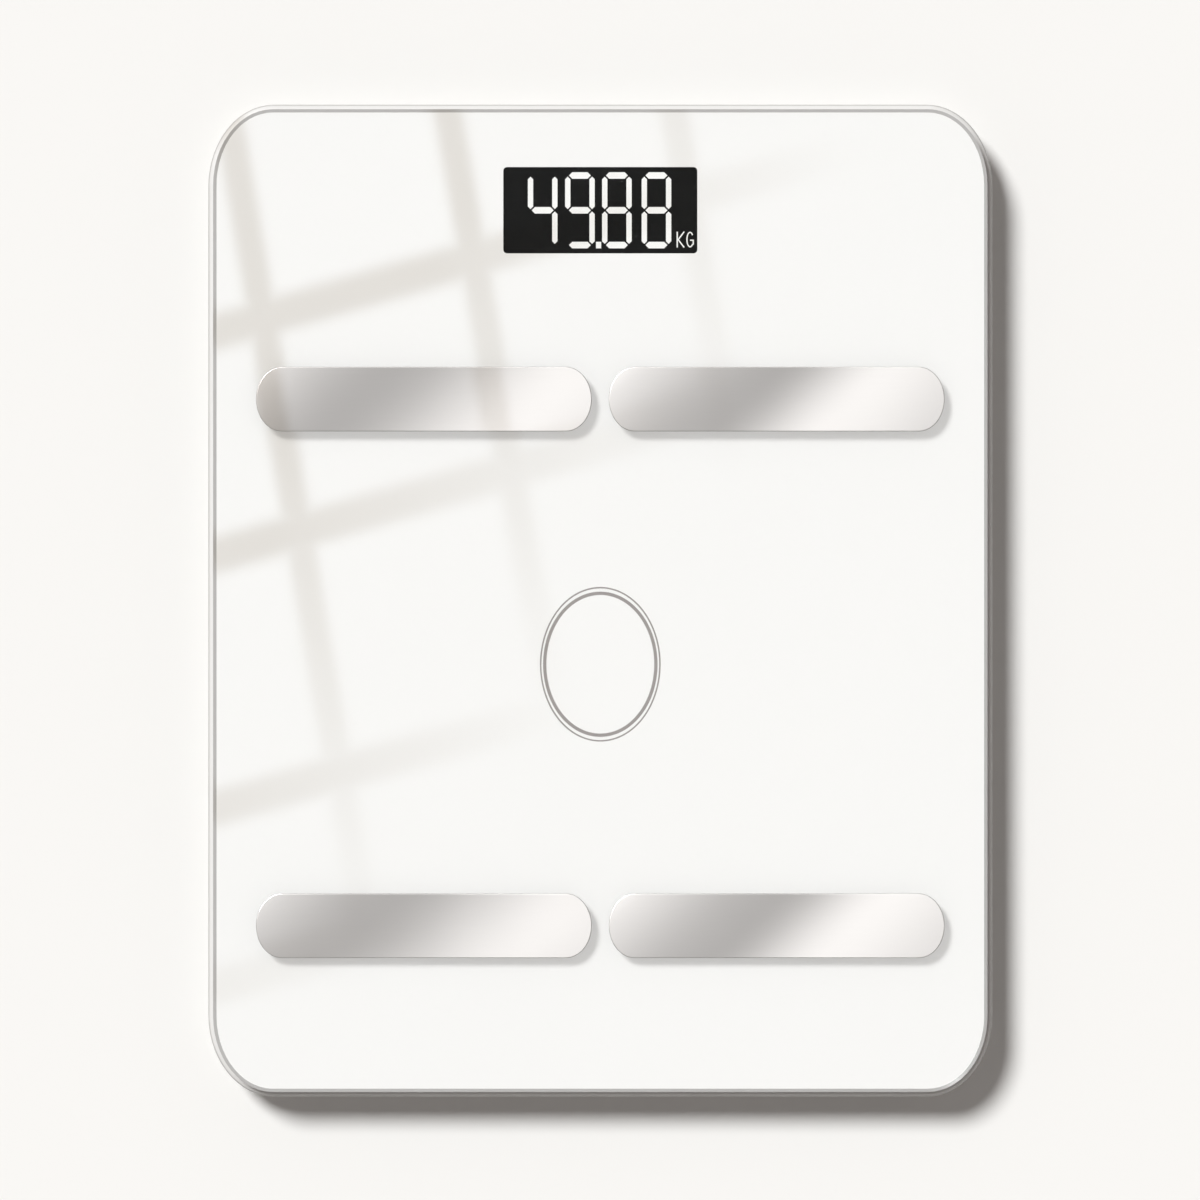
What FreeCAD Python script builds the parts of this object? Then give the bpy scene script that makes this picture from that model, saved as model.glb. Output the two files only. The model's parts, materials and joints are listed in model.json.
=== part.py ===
import FreeCAD, Part
import math
import os
import Sketcher

# Digital glass bathroom scale, millimetres. The origin is on the ground under the
# middle of the scale, X to the right, Y towards the display end, Z up.

os.makedirs("parts", exist_ok=True)
doc = FreeCAD.newDocument("bathroom_scale")
sheet = doc.addObject("Spreadsheet::Sheet", "dims")

DIMENSIONS = {
    # glass platform
    "glass_width": 260.0,
    "glass_depth": 330.0,
    "glass_thickness": 5.0,
    "glass_bevel": 1.2,
    "glass_lower_bevel": 0.5,
    "corner_width": 20.1,
    "corner_depth": 25.5,
    "film_inset": 0.8,
    "film_thickness": 0.2,
    "window_y": 131.2,
    "window_width": 65.2,
    "window_depth": 29.0,
    "window_corner": 1.3,
    "ring_y": -21.4,
    "ring_outer_half_width": 20.3,
    "ring_outer_half_depth": 26.0,
    "ring_outer_line": 0.5,
    "ring_inner_half_width": 19.25,
    "ring_inner_half_depth": 24.4,
    "ring_inner_line": 1.1,
    # electrodes and what holds them
    "electrode_x": 59.2,
    "electrode_toe_y": 67.6,
    "electrode_heel_y": -109.1,
    "electrode_half_length": 56.3,
    "electrode_half_depth": 10.8,
    "electrode_end": 8.66,
    "electrode_thickness": 0.5,
    "electrode_edge": 0.2,
    "stud_x": 30.0,
    "stud_radius": 1.5,
    "stud_hole_radius": 2.0,
    "stud_end": 14.6,
    "washer_radius": 3.5,
    "washer_thickness": 0.5,
    "terminal_radius": 3.3,
    "terminal_thickness": 0.5,
    "terminal_bore_radius": 1.65,
    "terminal_neck": 2.0,
    "barrel_start": 4.0,
    "barrel_end": 8.4,
    "barrel_radius": 0.95,
    "nut_radius": 3.1,
    "nut_height": 2.4,
    "thread_gap": 0.05,
    # base shell
    "base_overhang": 2.0,
    "base_bottom": 4.0,
    "base_height": 13.6,
    "base_upper_round": 2.0,
    "base_lower_round": 6.0,
    "floor_thickness": 2.0,
    "trough_outer_inset": 1.6,
    "trough_inner_inset": 8.6,
    "trough_floor": 7.0,
    "cavity_inset": 10.6,
    "rib_thickness": 1.6,
    "floor_rib_height": 2.0,
    "floor_rib_x": 55.0,
    "floor_rib_heel_y": -80.0,
    "floor_rib_middle_y": 30.0,
    "floor_rib_toe_y": 82.0,
    "rib_overlap": 1.0,
    "tape_outer_inset": 1.1,
    "tape_inner_inset": 10.1,
    "tape_thickness": 0.8,
    # corner load sensors and feet
    "sensor_x": 88.0,
    "sensor_y": 122.0,
    "housing_radius": 25.0,
    "well_radius": 23.0,
    "roof_recess_radius": 20.0,
    "roof_top": 15.5,
    "cell_half_width": 17.0,
    "cell_corner": 5.0,
    "cell_bottom": 10.0,
    "cell_thickness": 2.5,
    "tongue_half_width": 6.0,
    "tongue_root": 11.0,
    "tongue_tip": 8.0,
    "tongue_slot": 2.0,
    "tongue_relief": 0.8,
    "tongue_relief_half": 12.0,
    "gauge_start": 7.0,
    "gauge_length": 5.0,
    "gauge_width": 8.0,
    "gauge_thickness": 1.0,
    "bracket_radius": 22.4,
    "bracket_bore_radius": 15.0,
    "bracket_thickness": 1.5,
    "bracket_gap": 6.0,
    "block_start": 17.4,
    "block_width": 6.0,
    "block_overlap": 0.5,
    "bracket_screw_x": 20.0,
    "bracket_screw_end": 14.3,
    "screw_tip_gap": 0.2,
    "screw_radius": 1.05,
    "screw_hole_radius": 1.1,
    "screw_clearance_radius": 1.4,
    "screw_head_radius": 2.2,
    "screw_head_height": 1.4,
    "cup_radius": 22.2,
    "cup_bottom": 1.5,
    "cup_plate": 2.0,
    "cup_wall": 1.6,
    "cup_wall_height": 2.5,
    "cup_edge": 0.8,
    "cup_rib_height": 1.5,
    "post_radius": 5.0,
    "pad_radius": 18.5,
    "pad_edge": 0.5,
    "pad_groove_radius": 13.0,
    "pad_groove_width": 1.2,
    "pad_groove_depth": 0.5,
    "loom_height": 9.4,
    "loom_hole_width": 5.0,
    "loom_hole_height": 2.0,
    "loom_hole_depth": 4.0,
    "loom_turn_y": 80.0,
    "loom_bend": 20.0,
    "sensor_wire_radius": 0.55,
    "sensor_wire_pitch": 1.2,
    # display and circuit board
    "gasket_thickness": 0.4,
    "gasket_window_width": 66.2,
    "gasket_window_depth": 30.0,
    "lcd_width": 70.0,
    "lcd_depth": 33.0,
    "lcd_thickness": 2.2,
    "backlight_width": 68.0,
    "backlight_depth": 31.0,
    "backlight_thickness": 2.5,
    "lcd_pin_pitch": 4.0,
    "lcd_pin_width": 0.6,
    "lcd_pin_depth": 0.5,
    "board_width": 84.0,
    "board_depth": 42.0,
    "board_corner": 1.5,
    "board_thickness": 1.6,
    "standoff_x": 38.5,
    "standoff_y": 17.5,
    "standoff_radius": 3.0,
    "standoff_hole_depth": 5.2,
    "board_screw_length": 6.4,
    "chip_x": -12.0,
    "chip_radius": 7.0,
    "chip_height": 1.8,
    "chip_round": 1.2,
    "component_width": 2.0,
    "component_depth": 1.25,
    "component_height": 0.9,
    "component_pitch": 4.0,
    "component_row_y": 8.0,
    "component_row_pitch": 5.0,
    "component_left_x": -30.0,
    "component_right_x": 2.0,
    "connector_length": 8.0,
    "connector_depth": 5.5,
    "connector_height": 4.5,
    "toe_connector_x": 38.75,
    "toe_connector_y": 122.0,
    "heel_connector_x": 30.0,
    "heel_connector_y": 113.45,
    "lead_height": 16.8,
    "lead_radius": 0.55,
    "lead_drop": 3.0,
    "lead_bend": 20.0,
    "lead_pad_y": 121.0,
    "toe_lead_x": 38.2,
    "toe_lead_out_y": 86.0,
    "toe_lead_in_y": 100.0,
    "toe_lead_bend": 15.0,
    "heel_lead_x": 40.6,
    "heel_lead_out_y": -90.0,
    "heel_lead_aisle_x": 44.0,
    "heel_lead_aisle_low_y": -70.0,
    "heel_lead_aisle_high_y": 92.0,
    "heel_lead_in_y": 104.0,
    "heel_lead_bend": 40.0,
    # unit button
    "button_x": 25.0,
    "button_y": 131.0,
    "button_radius": 4.0,
    "button_hole_radius": 4.3,
    "button_bottom": 4.3,
    "button_flange_radius": 5.2,
    "button_flange_bottom": 6.2,
    "button_flange_thickness": 0.8,
    "button_edge": 0.4,
    "button_dish_radius": 7.0,
    "button_dish_depth": 0.8,
    "switch_width": 6.0,
    "switch_height": 3.5,
    "switch_bore_radius": 1.95,
    "switch_bore_depth": 2.0,
    "plunger_radius": 1.6,
    "plunger_length": 2.2,
    # batteries and their compartment
    "bay_y": -20.0,
    "bay_width": 34.0,
    "bay_depth": 51.0,
    "bay_wall": 2.4,
    "bay_roof": 1.0,
    "ledge_width": 1.2,
    "door_thickness": 1.6,
    "door_gap": 0.3,
    "door_round": 0.4,
    "tab_x": 5.4,
    "tab_width": 3.0,
    "tab_riser": 1.0,
    "tab_riser_offset": 1.1,
    "tab_reach": 1.0,
    "tab_bottom": 6.4,
    "tab_thickness": 1.2,
    "tab_slot_width": 3.8,
    "tab_slot_height": 2.3,
    "latch_half_width": 6.5,
    "latch_slot": 0.8,
    "latch_length": 9.0,
    "latch_slot_overrun": 0.5,
    "latch_rib_width": 10.0,
    "latch_rib_thickness": 0.9,
    "latch_rib_height": 1.7,
    "latch_rib_gap": 0.4,
    "grip_width": 9.0,
    "grip_thickness": 0.7,
    "grip_pitch": 1.6,
    "grip_depth": 0.5,
    "battery_radius": 5.25,
    "battery_length": 43.5,
    "battery_round": 0.5,
    "battery_nub_radius": 1.9,
    "battery_nub_length": 1.0,
    "battery_pitch": 10.8,
    "battery_height": 11.25,
    "contact_thickness": 0.5,
    "contact_width": 9.0,
    "contact_bottom": 8.4,
    "contact_height": 6.6,
    "spring_radius": 3.4,
    "spring_wire_radius": 0.3,
    "spring_turns": 4.0,
    "battery_wire_radius": 0.65,
    "battery_wire_pitch": 2.6,
    "battery_wire_bend": 30.0,
    "battery_wire_tight_bend": 7.0,
    "battery_wire_in_y": 75.0,
    "positive_out_y": 45.0,
    "negative_behind_y": -60.0,
    "negative_aisle_x": 27.0,
    "negative_out_y": 35.0,
}

for row, (alias, value) in enumerate(DIMENSIONS.items(), start=1):
    sheet.set(f"A{row}", alias)
    sheet.set(f"B{row}", str(value))
    sheet.setAlias(f"B{row}", alias)
doc.recompute()

# Levels of the stack, as expressions on the sheet.
FLOOR_TOP = "(dims.base_bottom + dims.floor_thickness)"
BASE_TOP = "(dims.base_bottom + dims.base_height)"
FILM_BOTTOM = f"({BASE_TOP} + dims.tape_thickness)"
GLASS_BOTTOM = f"({FILM_BOTTOM} + dims.film_thickness)"
GLASS_TOP = f"({GLASS_BOTTOM} + dims.glass_thickness)"
LCD_TOP = f"({FILM_BOTTOM} - dims.gasket_thickness)"
LCD_BOTTOM = f"({LCD_TOP} - dims.lcd_thickness)"
BOARD_TOP = f"({LCD_BOTTOM} - dims.backlight_thickness)"
BOARD_BOTTOM = f"({BOARD_TOP} - dims.board_thickness)"
CELL_TOP = "(dims.cell_bottom + dims.cell_thickness)"
BRACKET_BOTTOM = "(dims.cell_bottom - dims.bracket_thickness)"
DOOR_TOP = "(dims.base_bottom + dims.door_thickness)"
BAY_LOW = "(dims.bay_y - dims.bay_depth / 2)"
BAY_HIGH = "(dims.bay_y + dims.bay_depth / 2)"
TERMINAL_TOP = f"({FILM_BOTTOM} - dims.washer_thickness)"
NUT_TOP = f"({TERMINAL_TOP} - dims.terminal_thickness)"

# Each corner: side along X, end along Y, and the quarter turns that point its
# sensor's wires towards the circuit board.
CORNERS = {
    "toe_left": (-1, 1, 0),
    "toe_right": (1, 1, 2),
    "heel_left": (-1, -1, 1),
    "heel_right": (1, -1, 1),
}

nodes = []


def size(expression):
    return float(sheet.evalExpression(expression))


def finish_node(item, label):
    item.Label = label
    nodes.append(item)
    return item


def place(item, x, y, z, rotation=None):
    if rotation is not None:
        item.Placement = FreeCAD.Placement(FreeCAD.Vector(), rotation)
    for axis, expression in (("x", x), ("y", y), ("z", z)):
        item.setExpression(f"Placement.Base.{axis}", expression)


def turned(quarters):
    return FreeCAD.Rotation(FreeCAD.Vector(0, 0, 1), 90 * quarters)


def corner_point(corner, along, across):
    """Expressions for a point given along and across a corner's wire direction."""
    side, end, quarters = CORNERS[corner]
    cosine, sine = ((1, 0), (0, 1), (-1, 0), (0, -1))[quarters]
    x = f"{side} * dims.sensor_x + {cosine} * ({along}) - {sine} * ({across})"
    y = f"{end} * dims.sensor_y + {sine} * ({along}) + {cosine} * ({across})"
    return x, y


# ---------------------------------------------------------------- sketch helpers

def new_body(label):
    body = doc.addObject("PartDesign::Body", label)
    return finish_node(body, label)


def new_sketch(body, name, height):
    sketch = body.newObject("Sketcher::SketchObject", name)
    planes = [item for item in body.Origin.OriginFeatures if item.Role == "XY_Plane"]
    sketch.AttachmentSupport = [(planes[0], "")]
    sketch.MapMode = "FlatFace"
    sketch.setExpression("AttachmentOffset.Base.z", height)
    return sketch


def bind(sketch, kind, target, expression):
    """Dimension whose value follows an expression on the sheet."""
    index = sketch.addConstraint(Sketcher.Constraint(kind, *target, size(expression)))
    name = f"d{index}"
    sketch.renameConstraint(index, name)
    sketch.setExpression(f"Constraints.{name}", expression)


def bind_point(sketch, geometry, position, x, y):
    bind(sketch, "DistanceX", (-1, 1, geometry, position), x)
    bind(sketch, "DistanceY", (-1, 1, geometry, position), y)


def draw_circle(sketch, x, y, radius):
    centre = FreeCAD.Vector(size(x), size(y), 0)
    circle = sketch.addGeometry(Part.Circle(centre, FreeCAD.Vector(0, 0, 1), size(radius)), False)
    bind_point(sketch, circle, 3, x, y)
    bind(sketch, "Radius", (circle,), radius)


def draw_polygon(sketch, points):
    corners = [FreeCAD.Vector(size(x), size(y), 0) for x, y in points]
    lines = []
    for start, end in zip(corners, corners[1:] + corners[:1]):
        lines.append(sketch.addGeometry(Part.LineSegment(start, end), False))
    for index, line in enumerate(lines):
        sketch.addConstraint(Sketcher.Constraint("Coincident", lines[index - 1], 2, line, 1))
        bind_point(sketch, line, 1, *points[index])


def draw_rectangle(sketch, x, y, width, depth):
    left, right = f"{x} - ({width}) / 2", f"{x} + ({width}) / 2"
    low, high = f"{y} - ({depth}) / 2", f"{y} + ({depth}) / 2"
    draw_polygon(sketch, [(left, low), (right, low), (right, high), (left, high)])


def quarter_arc(centre, across, deep, start):
    """Quarter of an ellipse with its axes along X and Y, from the angle start."""
    x_end = centre + FreeCAD.Vector(across, 0, 0)
    y_end = centre + FreeCAD.Vector(0, deep, 0)
    if abs(across - deep) < 1e-6:
        circle = Part.Circle(centre, FreeCAD.Vector(0, 0, 1), across)
        return Part.ArcOfCircle(circle, start, start + math.pi / 2)
    if deep > across:
        left = centre - FreeCAD.Vector(across, 0, 0)
        tall = Part.Ellipse(y_end, left, centre)
        return Part.ArcOfEllipse(tall, start - math.pi / 2, start)
    return Part.ArcOfEllipse(Part.Ellipse(x_end, y_end, centre), start, start + math.pi / 2)


def draw_outline(sketch, half_width, half_depth, corner_width, corner_depth, y="0"):
    """Rectangle centred on X = 0 with rounded corners, elliptical where needed."""
    wide, deep = size(half_width), size(half_depth)
    across, along = size(corner_width), size(corner_depth)
    middle = size(y)
    centre_x, centre_y = wide - across, deep - along
    ends = [
        ((-centre_x, -deep), (centre_x, -deep)),
        ((wide, -centre_y), (wide, centre_y)),
        ((centre_x, deep), (-centre_x, deep)),
        ((-wide, centre_y), (-wide, -centre_y)),
    ]
    lines = []
    for start, end in ends:
        first = FreeCAD.Vector(start[0], start[1] + middle, 0)
        last = FreeCAD.Vector(end[0], end[1] + middle, 0)
        lines.append(sketch.addGeometry(Part.LineSegment(first, last), False))
    corners = ((1, -1, -math.pi / 2), (1, 1, 0), (-1, 1, math.pi / 2), (-1, -1, math.pi))
    arcs = []
    for side, end, start in corners:
        centre = FreeCAD.Vector(side * centre_x, end * centre_y + middle, 0)
        arcs.append(sketch.addGeometry(quarter_arc(centre, across, along, start), False))
    for index in range(4):
        straight = "Horizontal" if index % 2 == 0 else "Vertical"
        following = lines[(index + 1) % 4]
        sketch.addConstraint(Sketcher.Constraint(straight, lines[index]))
        sketch.addConstraint(Sketcher.Constraint("Tangent", lines[index], 2, arcs[index], 1))
        sketch.addConstraint(Sketcher.Constraint("Tangent", arcs[index], 2, following, 1))
    bind(sketch, "DistanceY", (-1, 1, lines[0], 1), f"{y} - ({half_depth})")
    bind(sketch, "DistanceX", (-1, 1, lines[1], 1), half_width)
    bind(sketch, "DistanceY", (-1, 1, lines[2], 1), f"{y} + ({half_depth})")
    bind(sketch, "DistanceX", (-1, 1, lines[3], 1), f"-({half_width})")
    if abs(across - along) < 1e-6:
        bind(sketch, "Radius", (arcs[0],), corner_width)
        for arc in arcs[1:]:
            sketch.addConstraint(Sketcher.Constraint("Equal", arcs[0], arc))
        return
    for arc, (side, end, _) in zip(arcs, corners):
        arc_x = f"{side} * ({half_width} - ({corner_width}))"
        arc_y = f"{y} + {end} * ({half_depth} - ({corner_depth}))"
        bind_point(sketch, arc, 3, arc_x, arc_y)


def draw_platform_outline(sketch, inset):
    """Outline of the glass, moved inwards by an inset (outwards where negative)."""
    draw_outline(
        sketch,
        f"(dims.glass_width / 2 - ({inset}))",
        f"(dims.glass_depth / 2 - ({inset}))",
        f"(dims.corner_width - ({inset}))",
        f"(dims.corner_depth - ({inset}))",
    )


# ------------------------------------------------------- PartDesign feature helpers

def body_volume(body):
    return 0.0 if body.Shape.isNull() else body.Shape.Volume


def check_change(body, feature, before, grows):
    doc.recompute()
    change = body.Shape.Volume - before
    if (change > 0) != grows or abs(change) < 1e-4:
        raise ValueError(f"{body.Label}: {feature.Name} changed the volume by {change}")


def pad(body, sketch, length, down=False):
    before = body_volume(body)
    feature = body.newObject("PartDesign::Pad", f"{sketch.Name}_pad")
    feature.Profile = sketch
    feature.Reversed = down
    feature.setExpression("Length", length)
    check_change(body, feature, before, True)
    return feature


def pocket(body, sketch, length, up=True):
    before = body_volume(body)
    feature = body.newObject("PartDesign::Pocket", f"{sketch.Name}_cut")
    feature.Profile = sketch
    feature.Reversed = up
    feature.setExpression("Length", length)
    check_change(body, feature, before, False)
    return feature


def edges_at(feature, height):
    """Names of the edges of a feature that lie flat at a height."""
    names = []
    for index, edge in enumerate(feature.Shape.Edges, start=1):
        box = edge.BoundBox
        if abs(box.ZMin - height) < 1e-4 and abs(box.ZMax - height) < 1e-4:
            names.append(f"Edge{index}")
    return names


def dress(body, kind, base, heights, amount):
    """Fillet or chamfer on all the flat edges of a feature at the given heights."""
    names = []
    for height in heights:
        names += edges_at(base, size(height))
    feature = body.newObject(f"PartDesign::{kind}", f"{base.Name}_{kind.lower()}")
    feature.Base = (base, names)
    feature.setExpression("Radius" if kind == "Fillet" else "Size", amount)
    doc.recompute()
    return feature


# ------------------------------------------------------------ Part object helpers

def box(name, width, depth, height, x, y, z):
    """Box centred on X and Y, standing on Z."""
    item = doc.addObject("Part::Box", name)
    item.setExpression("Length", width)
    item.setExpression("Width", depth)
    item.setExpression("Height", height)
    place(item, f"{x} - ({width}) / 2", f"{y} - ({depth}) / 2", z)
    return item


def cylinder(name, radius, height, x, y, z, rotation=None):
    item = doc.addObject("Part::Cylinder", name)
    item.setExpression("Radius", radius)
    item.setExpression("Height", height)
    place(item, x, y, z, rotation)
    return item


def combine(kind, name, base, tool):
    item = doc.addObject(f"Part::{kind}", name)
    item.Base = base
    item.Tool = tool
    return item


def group(label, items):
    item = doc.addObject("Part::Compound", label)
    item.Links = items
    return finish_node(item, label)


def screw(name, x, y, head_z, shank_z, shank_length):
    head = cylinder(f"{name}_head", "dims.screw_head_radius", "dims.screw_head_height", x, y, head_z)
    shank = cylinder(f"{name}_shank", "dims.screw_radius", shank_length, x, y, shank_z)
    return combine("Fuse", name, head, shank)


# -------------------------------------------------------------------- wire helpers

def rounded_path(points, radii):
    """Straight runs between the points, joined by tangent arcs of the given radii."""
    edges = []
    start = points[0]
    for before, corner, after, radius in zip(points, points[1:], points[2:], radii):
        back = (before - corner).normalize()
        ahead = (after - corner).normalize()
        half_angle = back.getAngle(ahead) / 2
        inward = (back + ahead).normalize()
        first = corner + back * (radius / math.tan(half_angle))
        last = corner + ahead * (radius / math.tan(half_angle))
        middle = corner + inward * (radius / math.sin(half_angle) - radius)
        edges.append(Part.LineSegment(start, first).toShape())
        edges.append(Part.Arc(first, middle, last).toShape())
        start = last
    edges.append(Part.LineSegment(start, points[-1]).toShape())
    return Part.Wire(edges)


def wire_solid(points, radii, wire_radius):
    path = rounded_path(points, radii)
    heading = points[1] - points[0]
    section = Part.Wire([Part.Circle(points[0], heading, wire_radius).toShape()])
    solid = path.makePipeShell([section], True, False)
    expected = math.pi * wire_radius ** 2 * path.Length
    if abs(solid.Volume - expected) > 0.005 * expected:
        raise ValueError(f"wire volume {solid.Volume}, expected {expected}")
    return solid


def wire_node(label, solids):
    item = doc.addObject("Part::Feature", label)
    item.Shape = Part.makeCompound(solids)
    item.Placement = FreeCAD.Placement()
    return finish_node(item, label)


# ------------------------------------------------------------------ glass platform

def build_glass():
    body = new_body("glass_platform")
    outline = new_sketch(body, "glass_outline", GLASS_BOTTOM)
    draw_platform_outline(outline, "0")
    slab = pad(body, outline, "dims.glass_thickness")
    polished = dress(body, "Chamfer", slab, [GLASS_TOP], "dims.glass_bevel")
    dress(body, "Chamfer", polished, [GLASS_BOTTOM], "dims.glass_lower_bevel")
    holes = new_sketch(body, "glass_stud_holes", GLASS_BOTTOM)
    draw_stud_holes(holes)
    pocket(body, holes, "dims.glass_thickness")


def draw_stud_holes(sketch):
    for side in (-1, 1):
        for y in ("dims.electrode_toe_y", "dims.electrode_heel_y"):
            draw_circle(sketch, f"{side} * dims.stud_x", y, "dims.stud_hole_radius")


def elliptic_plate(name, half_width, half_depth):
    """Thin upright-ellipse plate the thickness of the printed film."""
    edge = doc.addObject("Part::Ellipse", f"{name}_edge")
    edge.setExpression("MajorRadius", half_depth)
    edge.setExpression("MinorRadius", half_width)
    place(edge, "0", "dims.ring_y", GLASS_BOTTOM, turned(1))
    plate = doc.addObject("Part::Extrusion", name)
    plate.Base = edge
    plate.DirMode = "Custom"
    plate.Dir = FreeCAD.Vector(0, 0, -1)
    plate.Solid = True
    plate.setExpression("LengthFwd", "dims.film_thickness")
    return plate


def elliptic_line(name, half_width, half_depth, line):
    outer = elliptic_plate(f"{name}_outer", half_width, half_depth)
    inner = elliptic_plate(f"{name}_inner", f"{half_width} - {line}", f"{half_depth} - {line}")
    return combine("Cut", name, outer, inner)


def build_printing():
    rings = group("printed_ring", [
        elliptic_line(
            "ring_thin_line",
            "dims.ring_outer_half_width",
            "dims.ring_outer_half_depth",
            "dims.ring_outer_line",
        ),
        elliptic_line(
            "ring_thick_line",
            "dims.ring_inner_half_width",
            "dims.ring_inner_half_depth",
            "dims.ring_inner_line",
        ),
    ])
    body = doc.addObject("PartDesign::Body", "film_sheet")
    outline = new_sketch(body, "film_outline", FILM_BOTTOM)
    draw_platform_outline(outline, "dims.film_inset")
    pad(body, outline, "dims.film_thickness")
    openings = new_sketch(body, "film_openings", FILM_BOTTOM)
    draw_stud_holes(openings)
    draw_outline(
        openings,
        "(dims.window_width / 2)",
        "(dims.window_depth / 2)",
        "dims.window_corner",
        "dims.window_corner",
        "dims.window_y",
    )
    pocket(body, openings, "dims.film_thickness")
    finish_node(combine("Cut", "backing_film", body, rings), "backing_film")


def build_tapes():
    body = new_body("perimeter_tape")
    outline = new_sketch(body, "tape_outline", BASE_TOP)
    draw_platform_outline(outline, "dims.tape_outer_inset")
    draw_platform_outline(outline, "dims.tape_inner_inset")
    pad(body, outline, "dims.tape_thickness")
    rings = []
    for corner, (side, end, _) in CORNERS.items():
        at = (f"{side} * dims.sensor_x", f"{end} * dims.sensor_y", BASE_TOP)
        disc = cylinder(f"{corner}_tape_disc", "dims.housing_radius", "dims.tape_thickness", *at)
        bore = cylinder(f"{corner}_tape_bore", "dims.roof_recess_radius", "dims.tape_thickness", *at)
        rings.append(combine("Cut", f"{corner}_tape", disc, bore))
    group("corner_tapes", rings)


# ---------------------------------------------------------------------- electrodes

def build_electrode(end_name, side_name):
    label = f"electrode_{end_name}_{side_name}"
    body = new_body(label)
    half, end = size("dims.electrode_half_length"), size("dims.electrode_end")
    deep = size("dims.electrode_half_depth")
    plate = new_sketch(body, f"{label}_outline", "0")
    straight = half - end
    lower = Part.LineSegment(FreeCAD.Vector(-straight, -deep, 0), FreeCAD.Vector(straight, -deep, 0))
    upper = Part.LineSegment(FreeCAD.Vector(straight, deep, 0), FreeCAD.Vector(-straight, deep, 0))
    low_line = plate.addGeometry(lower, False)
    high_line = plate.addGeometry(upper, False)
    for side, first, last in ((1, low_line, high_line), (-1, high_line, low_line)):
        centre = FreeCAD.Vector(side * straight, 0, 0)
        top = centre + FreeCAD.Vector(0, deep, 0)
        flank = centre - FreeCAD.Vector(end, 0, 0)
        half_oval = Part.Ellipse(top, flank, centre)
        start = math.pi if side == 1 else 0
        arc = plate.addGeometry(Part.ArcOfEllipse(half_oval, start, start + math.pi), False)
        plate.addConstraint(Sketcher.Constraint("Tangent", first, 2, arc, 1))
        plate.addConstraint(Sketcher.Constraint("Tangent", arc, 2, last, 1))
        middle = f"{side} * (dims.electrode_half_length - dims.electrode_end)"
        bind_point(plate, arc, 3, middle, "0")
    plate.addConstraint(Sketcher.Constraint("Horizontal", low_line))
    bind(plate, "DistanceY", (-1, 1, low_line, 1), "-dims.electrode_half_depth")
    strip = pad(body, plate, "dims.electrode_thickness")
    dress(body, "Fillet", strip, ["dims.electrode_thickness"], "dims.electrode_edge")
    stud = new_sketch(body, f"{label}_stud", "0")
    draw_circle(stud, "dims.stud_x - dims.electrode_x", "0", "dims.stud_radius")
    pad(body, stud, f"{GLASS_TOP} - dims.stud_end", down=True)
    sign = 1 if side_name == "right" else -1
    turn = 0 if side_name == "right" else 2
    place(body, f"{sign} * dims.electrode_x", f"dims.electrode_{end_name}_y", GLASS_TOP, turned(turn))


def build_electrode_fixings():
    washers = []
    terminals = []
    nuts = []
    for end_name in ("toe", "heel"):
        for side_name, sign in (("left", -1), ("right", 1)):
            name = f"{end_name}_{side_name}"
            x, y = f"{sign} * dims.stud_x", f"dims.electrode_{end_name}_y"
            washers.append(build_washer(name, x, y))
            terminals.append(build_terminal(name, x, y))
            nuts.append(build_nut(name, x, y))
    group("electrode_washers", washers)
    group("ring_terminals", terminals)
    group("electrode_nuts", nuts)


def build_washer(name, x, y):
    disc = cylinder(f"{name}_washer_disc", "dims.washer_radius", "dims.washer_thickness",
                    x, y, TERMINAL_TOP)
    bore = cylinder(f"{name}_washer_bore", "dims.terminal_bore_radius", "dims.washer_thickness",
                    x, y, TERMINAL_TOP)
    return combine("Cut", f"{name}_washer", disc, bore)


def build_terminal(name, x, y):
    """Crimped ring terminal with its barrel pointing to the display end."""
    disc = cylinder(f"{name}_terminal_disc", "dims.terminal_radius", "dims.terminal_thickness",
                    x, y, NUT_TOP)
    neck_length = "(dims.barrel_start + dims.terminal_neck / 2)"
    neck = box(f"{name}_terminal_neck", "dims.terminal_neck", neck_length,
               "dims.terminal_thickness", x, f"{y} + {neck_length} / 2", NUT_TOP)
    along_y = FreeCAD.Rotation(FreeCAD.Vector(1, 0, 0), -90)
    barrel = cylinder(f"{name}_terminal_barrel", "dims.barrel_radius",
                      "dims.barrel_end - dims.barrel_start",
                      x, f"{y} + dims.barrel_start", "dims.lead_height", along_y)
    bore = cylinder(f"{name}_terminal_bore", "dims.terminal_bore_radius",
                    "dims.terminal_thickness", x, y, NUT_TOP)
    plate = combine("Fuse", f"{name}_terminal_plate", disc, neck)
    drilled = combine("Cut", f"{name}_terminal_drilled", plate, bore)
    return combine("Fuse", f"{name}_terminal", drilled, barrel)


def build_nut(name, x, y):
    prism = doc.addObject("Part::Prism", f"{name}_nut_prism")
    prism.Polygon = 6
    prism.setExpression("Circumradius", "dims.nut_radius")
    prism.setExpression("Height", "dims.nut_height")
    place(prism, x, y, f"{NUT_TOP} - dims.nut_height")
    bore = cylinder(f"{name}_nut_bore", "dims.stud_radius + dims.thread_gap", "dims.nut_height",
                    x, y, f"{NUT_TOP} - dims.nut_height")
    return combine("Cut", f"{name}_nut", prism, bore)


# ---------------------------------------------------------------------- base shell

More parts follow.
